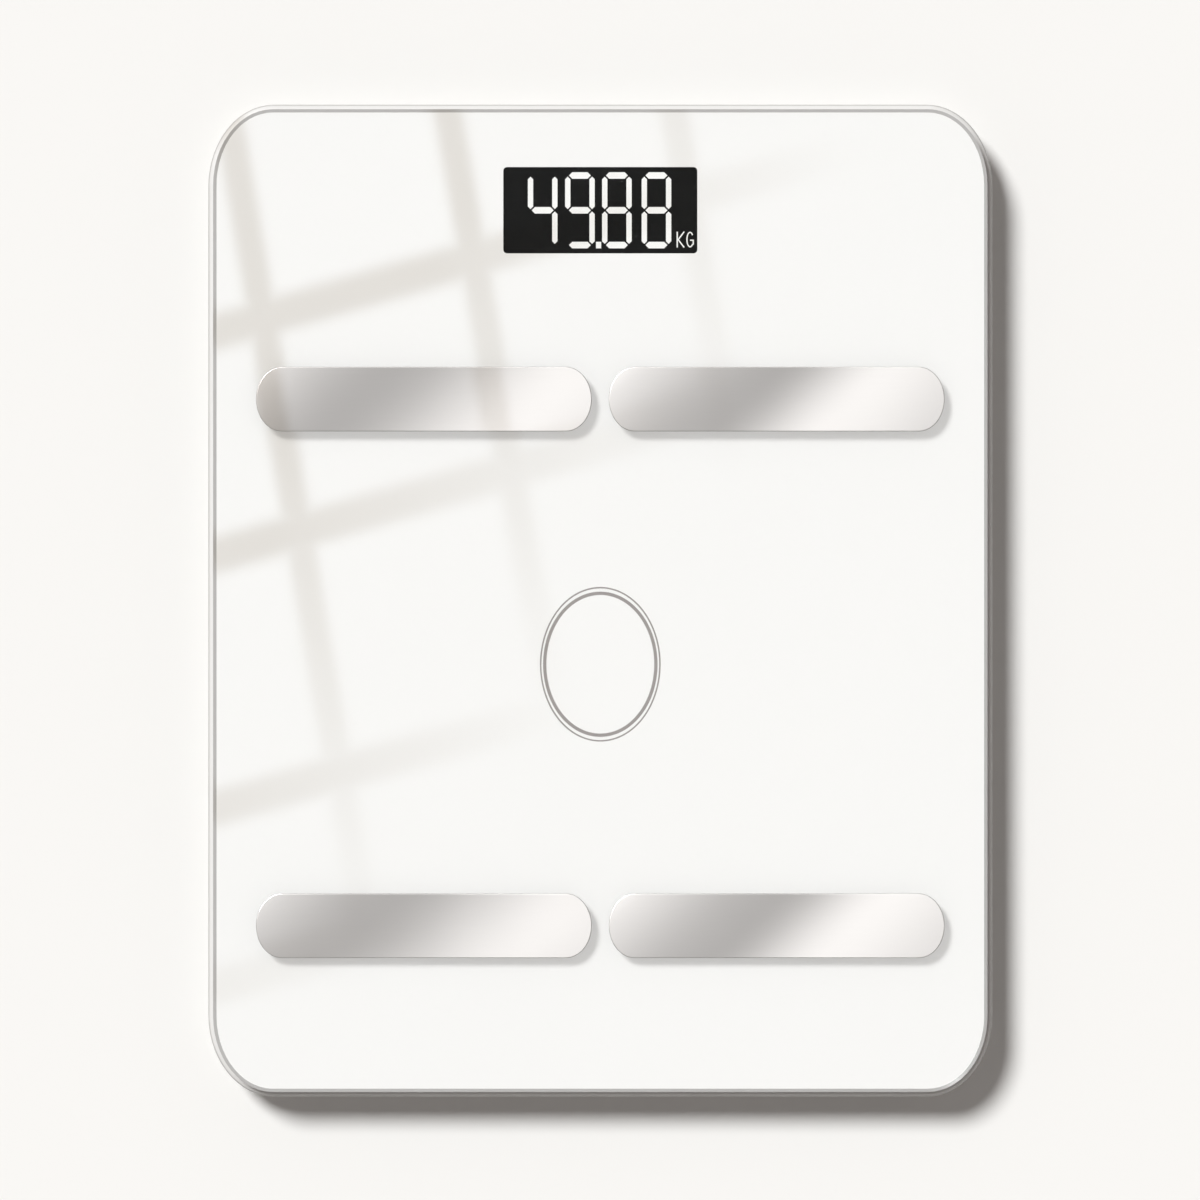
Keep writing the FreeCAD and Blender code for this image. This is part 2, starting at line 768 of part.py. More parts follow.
def build_base():
    body = new_body("base_shell")
    outline = new_sketch(body, "base_outline", "dims.base_bottom")
    draw_platform_outline(outline, "-dims.base_overhang")
    block = pad(body, outline, "dims.base_height")
    lower = dress(body, "Fillet", block, ["dims.base_bottom"], "dims.base_lower_round")
    dress(body, "Fillet", lower, [BASE_TOP], "dims.base_upper_round")

    cavity = new_sketch(body, "base_cavity", FLOOR_TOP)
    draw_platform_outline(cavity, "dims.cavity_inset")
    pocket(body, cavity, "dims.base_height")
    trough = new_sketch(body, "base_trough", "dims.trough_floor")
    draw_platform_outline(trough, "dims.trough_outer_inset")
    draw_platform_outline(trough, "dims.trough_inner_inset")
    pocket(body, trough, "dims.base_height")

    add_ribs(body)
    housings = new_sketch(body, "sensor_housings", FLOOR_TOP)
    for side, end, _ in CORNERS.values():
        draw_circle(housings, f"{side} * dims.sensor_x", f"{end} * dims.sensor_y", "dims.housing_radius")
    pad(body, housings, f"{BASE_TOP} - {FLOOR_TOP}")
    bay = new_sketch(body, "battery_bay", FLOOR_TOP)
    draw_rectangle(bay, "0", "dims.bay_y", "dims.bay_width + 2 * dims.bay_wall",
                   "dims.bay_depth + 2 * dims.bay_wall")
    pad(body, bay, f"{BASE_TOP} - {FLOOR_TOP}")
    standoffs = new_sketch(body, "board_standoffs", FLOOR_TOP)
    for x, y in standoff_points():
        draw_circle(standoffs, x, y, "dims.standoff_radius")
    pad(body, standoffs, f"{BOARD_BOTTOM} - {FLOOR_TOP}")
    standoff_holes = new_sketch(body, "standoff_holes", BOARD_BOTTOM)
    for x, y in standoff_points():
        draw_circle(standoff_holes, x, y, "dims.screw_hole_radius")
    pocket(body, standoff_holes, "dims.standoff_hole_depth", up=False)

    hollow_corners(body)
    hollow_bay(body)
    dish = new_sketch(body, "button_dish", "dims.base_bottom")
    draw_circle(dish, "dims.button_x", "dims.button_y", "dims.button_dish_radius")
    pocket(body, dish, "dims.button_dish_depth")
    button_hole = new_sketch(body, "button_hole", "dims.base_bottom")
    draw_circle(button_hole, "dims.button_x", "dims.button_y", "dims.button_hole_radius")
    pocket(body, button_hole, "dims.floor_thickness")


def add_ribs(body):
    """Ties across the trough and low stiffening ribs on the floor."""
    ties = new_sketch(body, "trough_ties", "dims.trough_floor")
    span = "dims.trough_inner_inset - dims.trough_outer_inset + dims.rib_overlap"
    middle = "(dims.trough_inner_inset + dims.trough_outer_inset) / 2"
    for side in (-1, 1):
        for step in (-3, -2, -1, 0, 1, 2, 3):
            draw_rectangle(ties, f"{side} * (dims.glass_width / 2 - {middle})",
                           f"{step} * dims.glass_depth / 8", span, "dims.rib_thickness")
        for step in (-2, -1, 0, 1, 2):
            draw_rectangle(ties, f"{step} * dims.glass_width / 7",
                           f"{side} * (dims.glass_depth / 2 - {middle})", "dims.rib_thickness", span)
    pad(body, ties, f"{BASE_TOP} - dims.trough_floor")
    ribs = new_sketch(body, "floor_ribs_long", FLOOR_TOP)
    for side in (-1, 1):
        draw_rectangle(ribs, f"{side} * dims.floor_rib_x", "0", "dims.rib_thickness",
                       "dims.glass_depth - 2 * dims.cavity_inset + dims.rib_overlap")
    pad(body, ribs, "dims.floor_rib_height")
    cross = new_sketch(body, "floor_ribs_cross", FLOOR_TOP)
    for place_name in ("heel", "middle", "toe"):
        draw_rectangle(cross, "0", f"dims.floor_rib_{place_name}_y",
                       "dims.glass_width - 2 * dims.cavity_inset + dims.rib_overlap",
                       "dims.rib_thickness")
    pad(body, cross, "dims.floor_rib_height")


def standoff_points():
    points = []
    for side in (-1, 1):
        for end in (-1, 1):
            points.append((f"{side} * dims.standoff_x", f"dims.window_y + {end} * dims.standoff_y"))
    return points


def bracket_screw_points(corner):
    offsets = (("0", "dims.bracket_screw_x"), ("0", "-dims.bracket_screw_x"),
               ("-dims.bracket_screw_x", "0"))
    return [corner_point(corner, along, across) for along, across in offsets]


def hollow_corners(body):
    """Foot wells, sensor seats, screw holes and wire openings at the four corners."""
    wells = new_sketch(body, "foot_wells", "dims.base_bottom")
    recesses = new_sketch(body, "roof_recesses", BASE_TOP)
    reliefs = new_sketch(body, "tongue_reliefs", CELL_TOP)
    for side, end, _ in CORNERS.values():
        x, y = f"{side} * dims.sensor_x", f"{end} * dims.sensor_y"
        draw_circle(wells, x, y, "dims.well_radius")
        draw_circle(recesses, x, y, "dims.roof_recess_radius")
        draw_rectangle(reliefs, x, y, "2 * dims.tongue_relief_half", "2 * dims.tongue_relief_half")
    pocket(body, wells, f"{CELL_TOP} - dims.base_bottom")
    pocket(body, recesses, f"{BASE_TOP} - dims.roof_top", up=False)
    pocket(body, reliefs, "dims.tongue_relief")

    blocks = new_sketch(body, "bracket_blocks", "dims.cell_bottom")
    reach = "dims.well_radius + dims.block_overlap - dims.block_start"
    middle = "(dims.well_radius + dims.block_overlap + dims.block_start) / 2"
    for corner, (_, _, quarters) in CORNERS.items():
        for along, across in (("0", middle), ("0", f"-{middle}"), (f"-{middle}", "0")):
            x, y = corner_point(corner, along, across)
            lengthwise = (along == "0") == (quarters % 2 == 0)
            width, depth = ("dims.block_width", reach) if lengthwise else (reach, "dims.block_width")
            draw_rectangle(blocks, x, y, width, depth)
    pad(body, blocks, "dims.cell_thickness")

    screw_holes = new_sketch(body, "bracket_screw_holes", "dims.cell_bottom")
    openings = new_sketch(body, "loom_openings", "dims.loom_height - dims.loom_hole_height / 2")
    for corner, (_, _, quarters) in CORNERS.items():
        for x, y in bracket_screw_points(corner):
            draw_circle(screw_holes, x, y, "dims.screw_hole_radius")
        x, y = corner_point(corner, "(dims.well_radius + dims.housing_radius) / 2", "0")
        opening = ("dims.loom_hole_depth", "dims.loom_hole_width")
        width, depth = opening if quarters % 2 == 0 else opening[::-1]
        draw_rectangle(openings, x, y, width, depth)
    pocket(body, screw_holes, "dims.bracket_screw_end + dims.screw_tip_gap - dims.cell_bottom")
    pocket(body, openings, "dims.loom_hole_height")


def hollow_bay(body):
    """Battery bay open to the underside, its door ledge, tab slots and wire openings."""
    inside = new_sketch(body, "bay_inside", DOOR_TOP)
    draw_rectangle(inside, "0", "dims.bay_y", "dims.bay_width", "dims.bay_depth")
    pocket(body, inside, f"{BASE_TOP} - dims.bay_roof - {DOOR_TOP}")
    doorway = new_sketch(body, "doorway", "dims.base_bottom")
    draw_rectangle(doorway, "0", "dims.bay_y", "dims.bay_width + 2 * dims.ledge_width",
                   "dims.bay_depth + 2 * dims.ledge_width")
    pocket(body, doorway, "dims.door_thickness")
    slots = new_sketch(body, "tab_slots", FLOOR_TOP)
    for side in (-1, 1):
        draw_rectangle(slots, f"{side} * dims.tab_x", f"{BAY_LOW} - dims.bay_wall / 2",
                       "dims.tab_slot_width", "dims.bay_wall + dims.rib_overlap")
    pocket(body, slots, "dims.tab_slot_height")
    openings = new_sketch(body, "battery_wire_openings", "dims.loom_height - dims.loom_hole_height / 2")
    for side, y in ((-1, f"{BAY_HIGH} + dims.bay_wall / 2"), (1, f"{BAY_LOW} - dims.bay_wall / 2")):
        draw_rectangle(openings, f"{side} * dims.battery_pitch", y, "dims.loom_hole_height",
                       "dims.bay_wall + dims.rib_overlap")
    pocket(body, openings, "dims.loom_hole_height")


# ------------------------------------------------------------- load sensors and feet

def place_at_corner(item, corner, height="0"):
    side, end, quarters = CORNERS[corner]
    place(item, f"{side} * dims.sensor_x", f"{end} * dims.sensor_y", height, turned(quarters))


def build_load_cell(corner):
    label = f"load_cell_{corner}"
    body = new_body(label)
    outline = new_sketch(body, f"{label}_outline", "0")
    draw_outline(outline, "dims.cell_half_width", "dims.cell_half_width", "dims.cell_corner",
                 "dims.cell_corner")
    pad(body, outline, "dims.cell_thickness")
    slot = new_sketch(body, f"{label}_slot", "0")
    half = "dims.tongue_half_width"
    wide = "(dims.tongue_half_width + dims.tongue_slot)"
    tip = "-dims.tongue_tip"
    far = "-(dims.tongue_tip + dims.tongue_slot)"
    root = "dims.tongue_root"
    draw_polygon(slot, [
        (root, wide), (far, wide), (far, f"-{wide}"), (root, f"-{wide}"),
        (root, f"-{half}"), (tip, f"-{half}"), (tip, half), (root, half),
    ])
    pocket(body, slot, "dims.cell_thickness")
    place_at_corner(body, corner, "dims.cell_bottom")


def build_bracket(corner):
    label = f"cell_bracket_{corner}"
    body = new_body(label)
    ring = new_sketch(body, f"{label}_ring", "0")
    draw_circle(ring, "0", "0", "dims.bracket_radius")
    draw_circle(ring, "0", "0", "dims.bracket_bore_radius")
    pad(body, ring, "dims.bracket_thickness")
    openings = new_sketch(body, f"{label}_openings", "0")
    draw_rectangle(openings, "(dims.bracket_radius + dims.bracket_bore_radius) / 2", "0",
                   "dims.bracket_radius - dims.bracket_bore_radius + 2 * dims.rib_overlap",
                   "dims.bracket_gap")
    for along, across in ((0, 1), (0, -1), (-1, 0)):
        draw_circle(openings, f"{along} * dims.bracket_screw_x", f"{across} * dims.bracket_screw_x",
                    "dims.screw_clearance_radius")
    pocket(body, openings, "dims.bracket_thickness")
    place_at_corner(body, corner, BRACKET_BOTTOM)


def build_foot_cup(corner):
    label = f"foot_cup_{corner}"
    body = new_body(label)
    disc = new_sketch(body, f"{label}_disc", "0")
    draw_circle(disc, "0", "0", "dims.cup_radius")
    plate = pad(body, disc, "dims.cup_plate")
    dress(body, "Fillet", plate, ["0"], "dims.cup_edge")
    wall = new_sketch(body, f"{label}_wall", "dims.cup_plate")
    draw_circle(wall, "0", "0", "dims.cup_radius")
    draw_circle(wall, "0", "0", "dims.cup_radius - dims.cup_wall")
    pad(body, wall, "dims.cup_wall_height")
    ribs = new_sketch(body, f"{label}_ribs", "dims.cup_plate")
    rib_length = "2 * (dims.cup_radius - dims.cup_wall) + dims.rib_overlap"
    draw_rectangle(ribs, "0", "0", rib_length, "dims.rib_thickness")
    pad(body, ribs, "dims.cup_rib_height")
    cross_ribs = new_sketch(body, f"{label}_cross_ribs", "dims.cup_plate")
    draw_rectangle(cross_ribs, "0", "0", "dims.rib_thickness", rib_length)
    pad(body, cross_ribs, "dims.cup_rib_height")
    post = new_sketch(body, f"{label}_post", "dims.cup_plate")
    draw_circle(post, "0", "0", "dims.post_radius")
    pad(body, post, "dims.cell_bottom - dims.cup_bottom - dims.cup_plate")
    place_at_corner(body, corner, "dims.cup_bottom")


def build_foot_pad(corner):
    label = f"foot_pad_{corner}"
    body = new_body(label)
    disc = new_sketch(body, f"{label}_disc", "0")
    draw_circle(disc, "0", "0", "dims.pad_radius")
    plate = pad(body, disc, "dims.cup_bottom")
    dress(body, "Fillet", plate, ["0"], "dims.pad_edge")
    groove = new_sketch(body, f"{label}_groove", "0")
    draw_circle(groove, "0", "0", "dims.pad_groove_radius")
    draw_circle(groove, "0", "0", "dims.pad_groove_radius - dims.pad_groove_width")
    pocket(body, groove, "dims.pad_groove_depth")
    place_at_corner(body, corner)


def build_corner_groups():
    gauges = []
    screws = []
    for corner, (_, _, quarters) in CORNERS.items():
        x, y = corner_point(corner, "dims.gauge_start + dims.gauge_length / 2", "0")
        footprint = ("dims.gauge_length", "dims.gauge_width")
        width, depth = footprint if quarters % 2 == 0 else footprint[::-1]
        gauges.append(box(f"{corner}_gauge", width, depth, "dims.gauge_thickness", x, y,
                          "dims.cell_bottom - dims.gauge_thickness"))
        for index, (x, y) in enumerate(bracket_screw_points(corner), start=1):
            screws.append(screw(f"{corner}_bracket_screw_{index}", x, y,
                                f"{BRACKET_BOTTOM} - dims.screw_head_height", BRACKET_BOTTOM,
                                f"dims.bracket_screw_end - {BRACKET_BOTTOM}"))
    group("strain_gauges", gauges)
    group("bracket_screws", screws)


# --------------------------------------------------------- display and circuit board

def build_display():
    gasket = new_body("lcd_gasket")
    frame = new_sketch(gasket, "gasket_frame", LCD_TOP)
    draw_rectangle(frame, "0", "dims.window_y", "dims.lcd_width", "dims.lcd_depth")
    draw_rectangle(frame, "0", "dims.window_y", "dims.gasket_window_width", "dims.gasket_window_depth")
    pad(gasket, frame, "dims.gasket_thickness")
    for label, name, bottom in (("lcd_panel", "lcd", LCD_BOTTOM), ("lcd_backlight", "backlight", BOARD_TOP)):
        body = new_body(label)
        outline = new_sketch(body, f"{label}_outline", bottom)
        draw_rectangle(outline, "0", "dims.window_y", f"dims.{name}_width", f"dims.{name}_depth")
        pad(body, outline, f"dims.{name}_thickness")
    pins = []
    for index in range(-8, 9):
        pins.append(box(f"lcd_pin_{index + 9}", "dims.lcd_pin_width", "dims.lcd_pin_depth",
                        f"{LCD_TOP} - {BOARD_TOP}", f"{index} * dims.lcd_pin_pitch",
                        "dims.window_y - (dims.lcd_depth + dims.lcd_pin_depth) / 2", BOARD_TOP))
    group("lcd_pins", pins)


def build_board():
    board = new_body("main_board")
    outline = new_sketch(board, "board_outline", BOARD_BOTTOM)
    draw_outline(outline, "dims.board_width / 2", "dims.board_depth / 2", "dims.board_corner",
                 "dims.board_corner", "dims.window_y")
    for x, y in standoff_points():
        draw_circle(outline, x, y, "dims.screw_clearance_radius")
    pad(board, outline, "dims.board_thickness")
    screws = []
    for index, (x, y) in enumerate(standoff_points(), start=1):
        screws.append(screw(f"board_screw_{index}", x, y, BOARD_TOP,
                            f"{BOARD_TOP} - dims.board_screw_length", "dims.board_screw_length"))
    group("board_screws", screws)

    chip = new_body("controller_chip")
    blob = new_sketch(chip, "chip_outline", BOARD_BOTTOM)
    draw_circle(blob, "dims.chip_x", "dims.window_y", "dims.chip_radius")
    drop = pad(chip, blob, "dims.chip_height", down=True)
    dress(chip, "Fillet", drop, [f"{BOARD_BOTTOM} - dims.chip_height"], "dims.chip_round")

    components = []
    for row in (-2, -1, 1, 2):
        y = f"dims.window_y + {row} * dims.component_row_pitch"
        if abs(row) == 1:
            y = f"dims.window_y + {row} * dims.component_row_y"
        for side_name, count in (("left", 2), ("right", 3)):
            for column in range(count):
                x = f"dims.component_{side_name}_x + {column} * dims.component_pitch"
                name = f"component_{side_name}_{column}_row_{row + 3}"
                components.append(box(name, "dims.component_width", "dims.component_depth",
                                      "dims.component_height", x, y,
                                      f"{BOARD_BOTTOM} - dims.component_height"))
    group("board_components", components)


def build_connectors():
    connectors = []
    bottom = f"{BOARD_BOTTOM} - dims.connector_height"
    for side_name, side in (("left", -1), ("right", 1)):
        connectors.append(box(f"connector_toe_{side_name}", "dims.connector_depth",
                              "dims.connector_length", "dims.connector_height",
                              f"{side} * dims.toe_connector_x", "dims.toe_connector_y", bottom))
        connectors.append(box(f"connector_heel_{side_name}", "dims.connector_length",
                              "dims.connector_depth", "dims.connector_height",
                              f"{side} * dims.heel_connector_x", "dims.heel_connector_y", bottom))
    group("sensor_connectors", connectors)
    finish_node(box("battery_connector", "dims.connector_length", "dims.connector_depth",
                    "dims.connector_height", "0", "dims.heel_connector_y", bottom), "battery_connector")


def build_button():
    case = box("switch_case", "dims.switch_width", "dims.switch_width", "dims.switch_height",
               "dims.button_x", "dims.button_y", f"{BOARD_BOTTOM} - dims.switch_height")
    bore = cylinder("switch_bore", "dims.switch_bore_radius", "dims.switch_bore_depth",
                    "dims.button_x", "dims.button_y", f"{BOARD_BOTTOM} - dims.switch_height")
    finish_node(combine("Cut", "tact_switch", case, bore), "tact_switch")
    flange_top = "(dims.button_flange_bottom + dims.button_flange_thickness)"
    plunger = cylinder("switch_plunger", "dims.plunger_radius", "dims.plunger_length",
                       "dims.button_x", "dims.button_y", flange_top)
    finish_node(plunger, "switch_plunger")

    button = new_body("unit_button")
    cap = new_sketch(button, "button_cap", "dims.button_bottom")
    draw_circle(cap, "dims.button_x", "dims.button_y", "dims.button_radius")
    stem = pad(button, cap, "dims.button_flange_bottom - dims.button_bottom")
    dress(button, "Fillet", stem, ["dims.button_bottom"], "dims.button_edge")
    flange = new_sketch(button, "button_flange", "dims.button_flange_bottom")
    draw_circle(flange, "dims.button_x", "dims.button_y", "dims.button_flange_radius")
    pad(button, flange, "dims.button_flange_thickness")


# ------------------------------------------------------------ batteries and the door

def build_door():
    """Door with two hooked tabs at the heel end and a sprung finger at the other."""
    body = new_body("battery_door")
    low = f"({BAY_LOW} - dims.ledge_width + dims.door_gap)"
    high = f"({BAY_HIGH} + dims.ledge_width - dims.door_gap)"
    outline = new_sketch(body, "door_outline", "dims.base_bottom")
    half_depth = "(dims.bay_depth / 2 + dims.ledge_width - dims.door_gap)"
    half_width = "(dims.bay_width / 2 + dims.ledge_width - dims.door_gap)"
    draw_outline(outline, half_width, half_depth, "dims.door_round", "dims.door_round", "dims.bay_y")
    pad(body, outline, "dims.door_thickness")
    risers = new_sketch(body, "tab_risers", DOOR_TOP)
    tabs = new_sketch(body, "tab_hooks", "dims.tab_bottom")
    riser_low = f"({low} + dims.tab_riser_offset)"
    hook_length = "(dims.tab_riser_offset + dims.tab_riser + dims.tab_reach)"
    for side in (-1, 1):
        draw_rectangle(risers, f"{side} * dims.tab_x", f"{riser_low} + dims.tab_riser / 2",
                       "dims.tab_width", "dims.tab_riser")
        draw_rectangle(tabs, f"{side} * dims.tab_x",
                       f"{riser_low} + dims.tab_riser - {hook_length} / 2",
                       "dims.tab_width", hook_length)
    pad(body, risers, f"dims.tab_bottom + dims.tab_thickness - {DOOR_TOP}")
    pad(body, tabs, "dims.tab_thickness")
    rib = new_sketch(body, "latch_rib", DOOR_TOP)
    draw_rectangle(rib, "0", f"{BAY_HIGH} - dims.latch_rib_gap - dims.latch_rib_thickness / 2",
                   "dims.latch_rib_width", "dims.latch_rib_thickness")
    pad(body, rib, "dims.latch_rib_height")
    slots = new_sketch(body, "latch_slots", "dims.base_bottom")
    for side in (-1, 1):
        draw_rectangle(slots, f"{side} * (dims.latch_half_width + dims.latch_slot / 2)",
                       f"{high} - dims.latch_length / 2 + dims.latch_slot_overrun",
                       "dims.latch_slot", "dims.latch_length + 2 * dims.latch_slot_overrun")
    pocket(body, slots, "dims.door_thickness")
    grips = new_sketch(body, "latch_grips", "dims.base_bottom")
    for index in range(3):
        draw_rectangle(grips, "0", f"{high} - {index + 1} * dims.grip_pitch", "dims.grip_width",
                       "dims.grip_thickness")
    pocket(body, grips, "dims.grip_depth")


def build_batteries():
    contact_low = f"({BAY_LOW} + dims.contact_thickness)"
    contact_high = f"({BAY_HIGH} - dims.contact_thickness)"
    reach = "(dims.battery_length + dims.battery_nub_length)"
    towards_display = FreeCAD.Rotation(FreeCAD.Vector(1, 0, 0), -90)
    towards_heel = FreeCAD.Rotation(FreeCAD.Vector(1, 0, 0), 90)
    layout = (
        ("battery_left", -1, f"{contact_high} - {reach}", towards_display),
        ("battery_middle", 0, f"{contact_low} + {reach}", towards_heel),
        ("battery_right", 1, f"{contact_high} - {reach}", towards_display),
    )
    for label, column, y, rotation in layout:
        body = new_body(label)
        can = new_sketch(body, f"{label}_can", "0")
        draw_circle(can, "0", "0", "dims.battery_radius")
        tube = pad(body, can, "dims.battery_length")
        dress(body, "Fillet", tube, ["0", "dims.battery_length"], "dims.battery_round")
        nub = new_sketch(body, f"{label}_nub", "dims.battery_length")
        draw_circle(nub, "0", "0", "dims.battery_nub_radius")
        pad(body, nub, "dims.battery_nub_length")
        place(body, f"{column} * dims.battery_pitch", y, "dims.battery_height", rotation)


def build_contacts():
    """Six contact positions: springs at the flat ends, plates behind every end."""
    plates = []
    wide = "(dims.contact_width + dims.battery_pitch)"
    for name, x, width, y in (
        ("heel_bridge", "-dims.battery_pitch / 2", wide, f"{BAY_LOW} + dims.contact_thickness / 2"),
        ("heel_single", "dims.battery_pitch", "dims.contact_width",
         f"{BAY_LOW} + dims.contact_thickness / 2"),
        ("toe_single", "-dims.battery_pitch", "dims.contact_width",
         f"{BAY_HIGH} - dims.contact_thickness / 2"),
        ("toe_bridge", "dims.battery_pitch / 2", wide, f"{BAY_HIGH} - dims.contact_thickness / 2"),
    ):
        plates.append(box(f"contact_{name}", width, "dims.contact_thickness", "dims.contact_height",
                          x, y, "dims.contact_bottom"))
    group("contact_plates", plates)
    springs = []
    gap = size("dims.bay_depth - 2 * dims.contact_thickness - dims.battery_length - dims.battery_nub_length")
    wire_radius = size("dims.spring_wire_radius")
    height = gap - 2 * wire_radius
    radius = size("dims.spring_radius")
    helix = Part.makeLongHelix(height / size("dims.spring_turns"), height, radius)
    first_turn = helix.Edges[0]
    heading = first_turn.tangentAt(first_turn.FirstParameter)
    end = FreeCAD.Vector(radius, 0, 0)
    section = Part.Wire([Part.Circle(end, heading, wire_radius).toShape()])
    spring = Part.Wire(helix.Edges).makePipeShell([section], True, True)
    expected = math.pi * wire_radius ** 2 * helix.Length
    if abs(spring.Volume - expected) > 0.02 * expected:
        raise ValueError(f"spring volume {spring.Volume}, expected {expected}")
    low = size(f"{BAY_LOW} + dims.contact_thickness") + wire_radius
    high = size(f"{BAY_HIGH} - dims.contact_thickness") - wire_radius
    for column, y, direction in ((-1, low, -90), (0, high, 90), (1, low, -90)):
        centre = FreeCAD.Vector(column * size("dims.battery_pitch"), y, size("dims.battery_height"))
        rotation = FreeCAD.Rotation(FreeCAD.Vector(1, 0, 0), direction)
        coil = spring.copy()
        coil.Placement = FreeCAD.Placement(centre, rotation)
        springs.append(coil)
    wire_node("contact_springs", springs)


# --------------------------------------------------------------------------- wiring

def build_sensor_leads():
    """Three wires from each sensor to its connector under the board."""
    height = size("dims.loom_height")
    radius = size("dims.sensor_wire_radius")
    start = size("dims.gauge_start + dims.gauge_length")
    toe_face = size("dims.toe_connector_x + dims.connector_depth / 2")
    heel_face = size("dims.heel_connector_y - dims.connector_depth / 2")
    sensor_x, sensor_y = size("dims.sensor_x"), size("dims.sensor_y")
    column = size("dims.heel_connector_x")
    turn_y, bend = size("dims.loom_turn_y"), size("dims.loom_bend")
    for corner, (side, end, _) in CORNERS.items():
        wires = []
        for index in (-1, 0, 1):
            offset = index * size("dims.sensor_wire_pitch")
            if end == 1:
                row = sensor_y + offset
                points = [(sensor_x - start, row), (toe_face, row)]
                radii = []
            else:
                points = [
                    (sensor_x + offset, start - sensor_y),
                    (sensor_x + offset, turn_y + offset),
                    (column + offset, turn_y + offset),
                    (column + offset, heel_face),
                ]
                radii = [bend + offset, bend - offset]
            route = [FreeCAD.Vector(side * x, y, height) for x, y in points]
            wires.append(wire_solid(route, radii, radius))
        wire_node(f"sensor_leads_{corner}", wires)


def build_electrode_leads():
    """One wire from each electrode's terminal to a pad on top of the board."""
    height, pad_top = size("dims.lead_height"), size(BOARD_TOP)
    stud_x, start = size("dims.stud_x"), size("dims.barrel_end")
    toe_y, heel_y = size("dims.electrode_toe_y"), size("dims.electrode_heel_y")
    pad_y, drop = size("dims.lead_pad_y"), size("dims.lead_drop")
    toe_x, heel_x = size("dims.toe_lead_x"), size("dims.heel_lead_x")
    aisle = size("dims.heel_lead_aisle_x")
    toe_bend, heel_bend = size("dims.toe_lead_bend"), size("dims.heel_lead_bend")
    first_bend = size("dims.lead_bend")
    for side_name, side in (("left", -1), ("right", 1)):
        toe = [
            (stud_x, toe_y + start),
            (stud_x, size("dims.toe_lead_out_y")),
            (toe_x, size("dims.toe_lead_in_y")),
            (toe_x, pad_y),
        ]
        heel = [
            (stud_x, heel_y + start),
            (stud_x, size("dims.heel_lead_out_y")),
            (aisle, size("dims.heel_lead_aisle_low_y")),
            (aisle, size("dims.heel_lead_aisle_high_y")),
            (heel_x, size("dims.heel_lead_in_y")),
            (heel_x, pad_y),
        ]
        wires = []
        toe_radii = [toe_bend, toe_bend, drop]
        heel_radii = [first_bend, first_bend, heel_bend, heel_bend, drop]
        for points, radii in ((toe, toe_radii), (heel, heel_radii)):
            route = [FreeCAD.Vector(side * x, y, height) for x, y in points]
            route.append(FreeCAD.Vector(side * points[-1][0], pad_y, pad_top))
            wires.append(wire_solid(route, radii, size("dims.lead_radius")))
        wire_node(f"electrode_leads_{side_name}", wires)


def build_battery_leads():
    height = size("dims.loom_height")
    radius = size("dims.battery_wire_radius")
    low, high = size(BAY_LOW), size(BAY_HIGH)
    column = size("dims.battery_pitch")
    face = size("dims.heel_connector_y - dims.connector_depth / 2")
    entry = size("dims.battery_wire_pitch") / 2
    bend, tight = size("dims.battery_wire_bend"), size("dims.battery_wire_tight_bend")
    behind, aisle = size("dims.negative_behind_y"), size("dims.negative_aisle_x")
    inward = size("dims.battery_wire_in_y")
    positive = [
        (-column, high),
        (-column, size("dims.positive_out_y")),
        (-entry, inward),
        (-entry, face),
    ]
    negative = [
        (column, low),
        (column, behind),
        (aisle, behind),
        (aisle, size("dims.negative_out_y")),
        (entry, inward),
        (entry, face),
    ]
    routes = (
        ("positive_lead", positive, [bend, bend]),
        ("negative_lead", negative, [tight, tight, bend, bend]),
    )
    for label, points, radii in routes:
        route = [FreeCAD.Vector(x, y, height) for x, y in points]
        wire_node(f"battery_{label}", [wire_solid(route, radii, radius)])


# ------------------------------------------------------------------------- assembly

build_glass()
build_printing()
build_tapes()
for end_name in ("toe", "heel"):
    for side_name in ("left", "right"):
        build_electrode(end_name, side_name)
build_electrode_fixings()
build_base()
for corner in CORNERS:
    build_load_cell(corner)
    build_bracket(corner)
    build_foot_cup(corner)
    build_foot_pad(corner)
build_corner_groups()
build_display()
build_board()
build_connectors()
build_button()
build_door()
build_batteries()
build_contacts()
build_sensor_leads()
build_electrode_leads()
build_battery_leads()
doc.recompute()

for item in doc.Objects:
    if "Invalid" in item.State or "Error" in item.State:
        raise ValueError(f"{item.Label} did not recompute: {item.State}")
for node in nodes:
    if node.Shape.isNull() or not node.Shape.isValid():
        raise ValueError(f"{node.Label} has no valid shape")
for node in nodes:
    node.Shape.exportStep(f"parts/{node.Label}.step")
    extent = node.Shape.BoundBox
    print(f"{node.Label}: {len(node.Shape.Solids)} solids, {node.Shape.Volume:.1f} mm3, "
          f"z {extent.ZMin:.2f} to {extent.ZMax:.2f}")
print(f"{len(nodes)} nodes")
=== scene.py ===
import json
import math

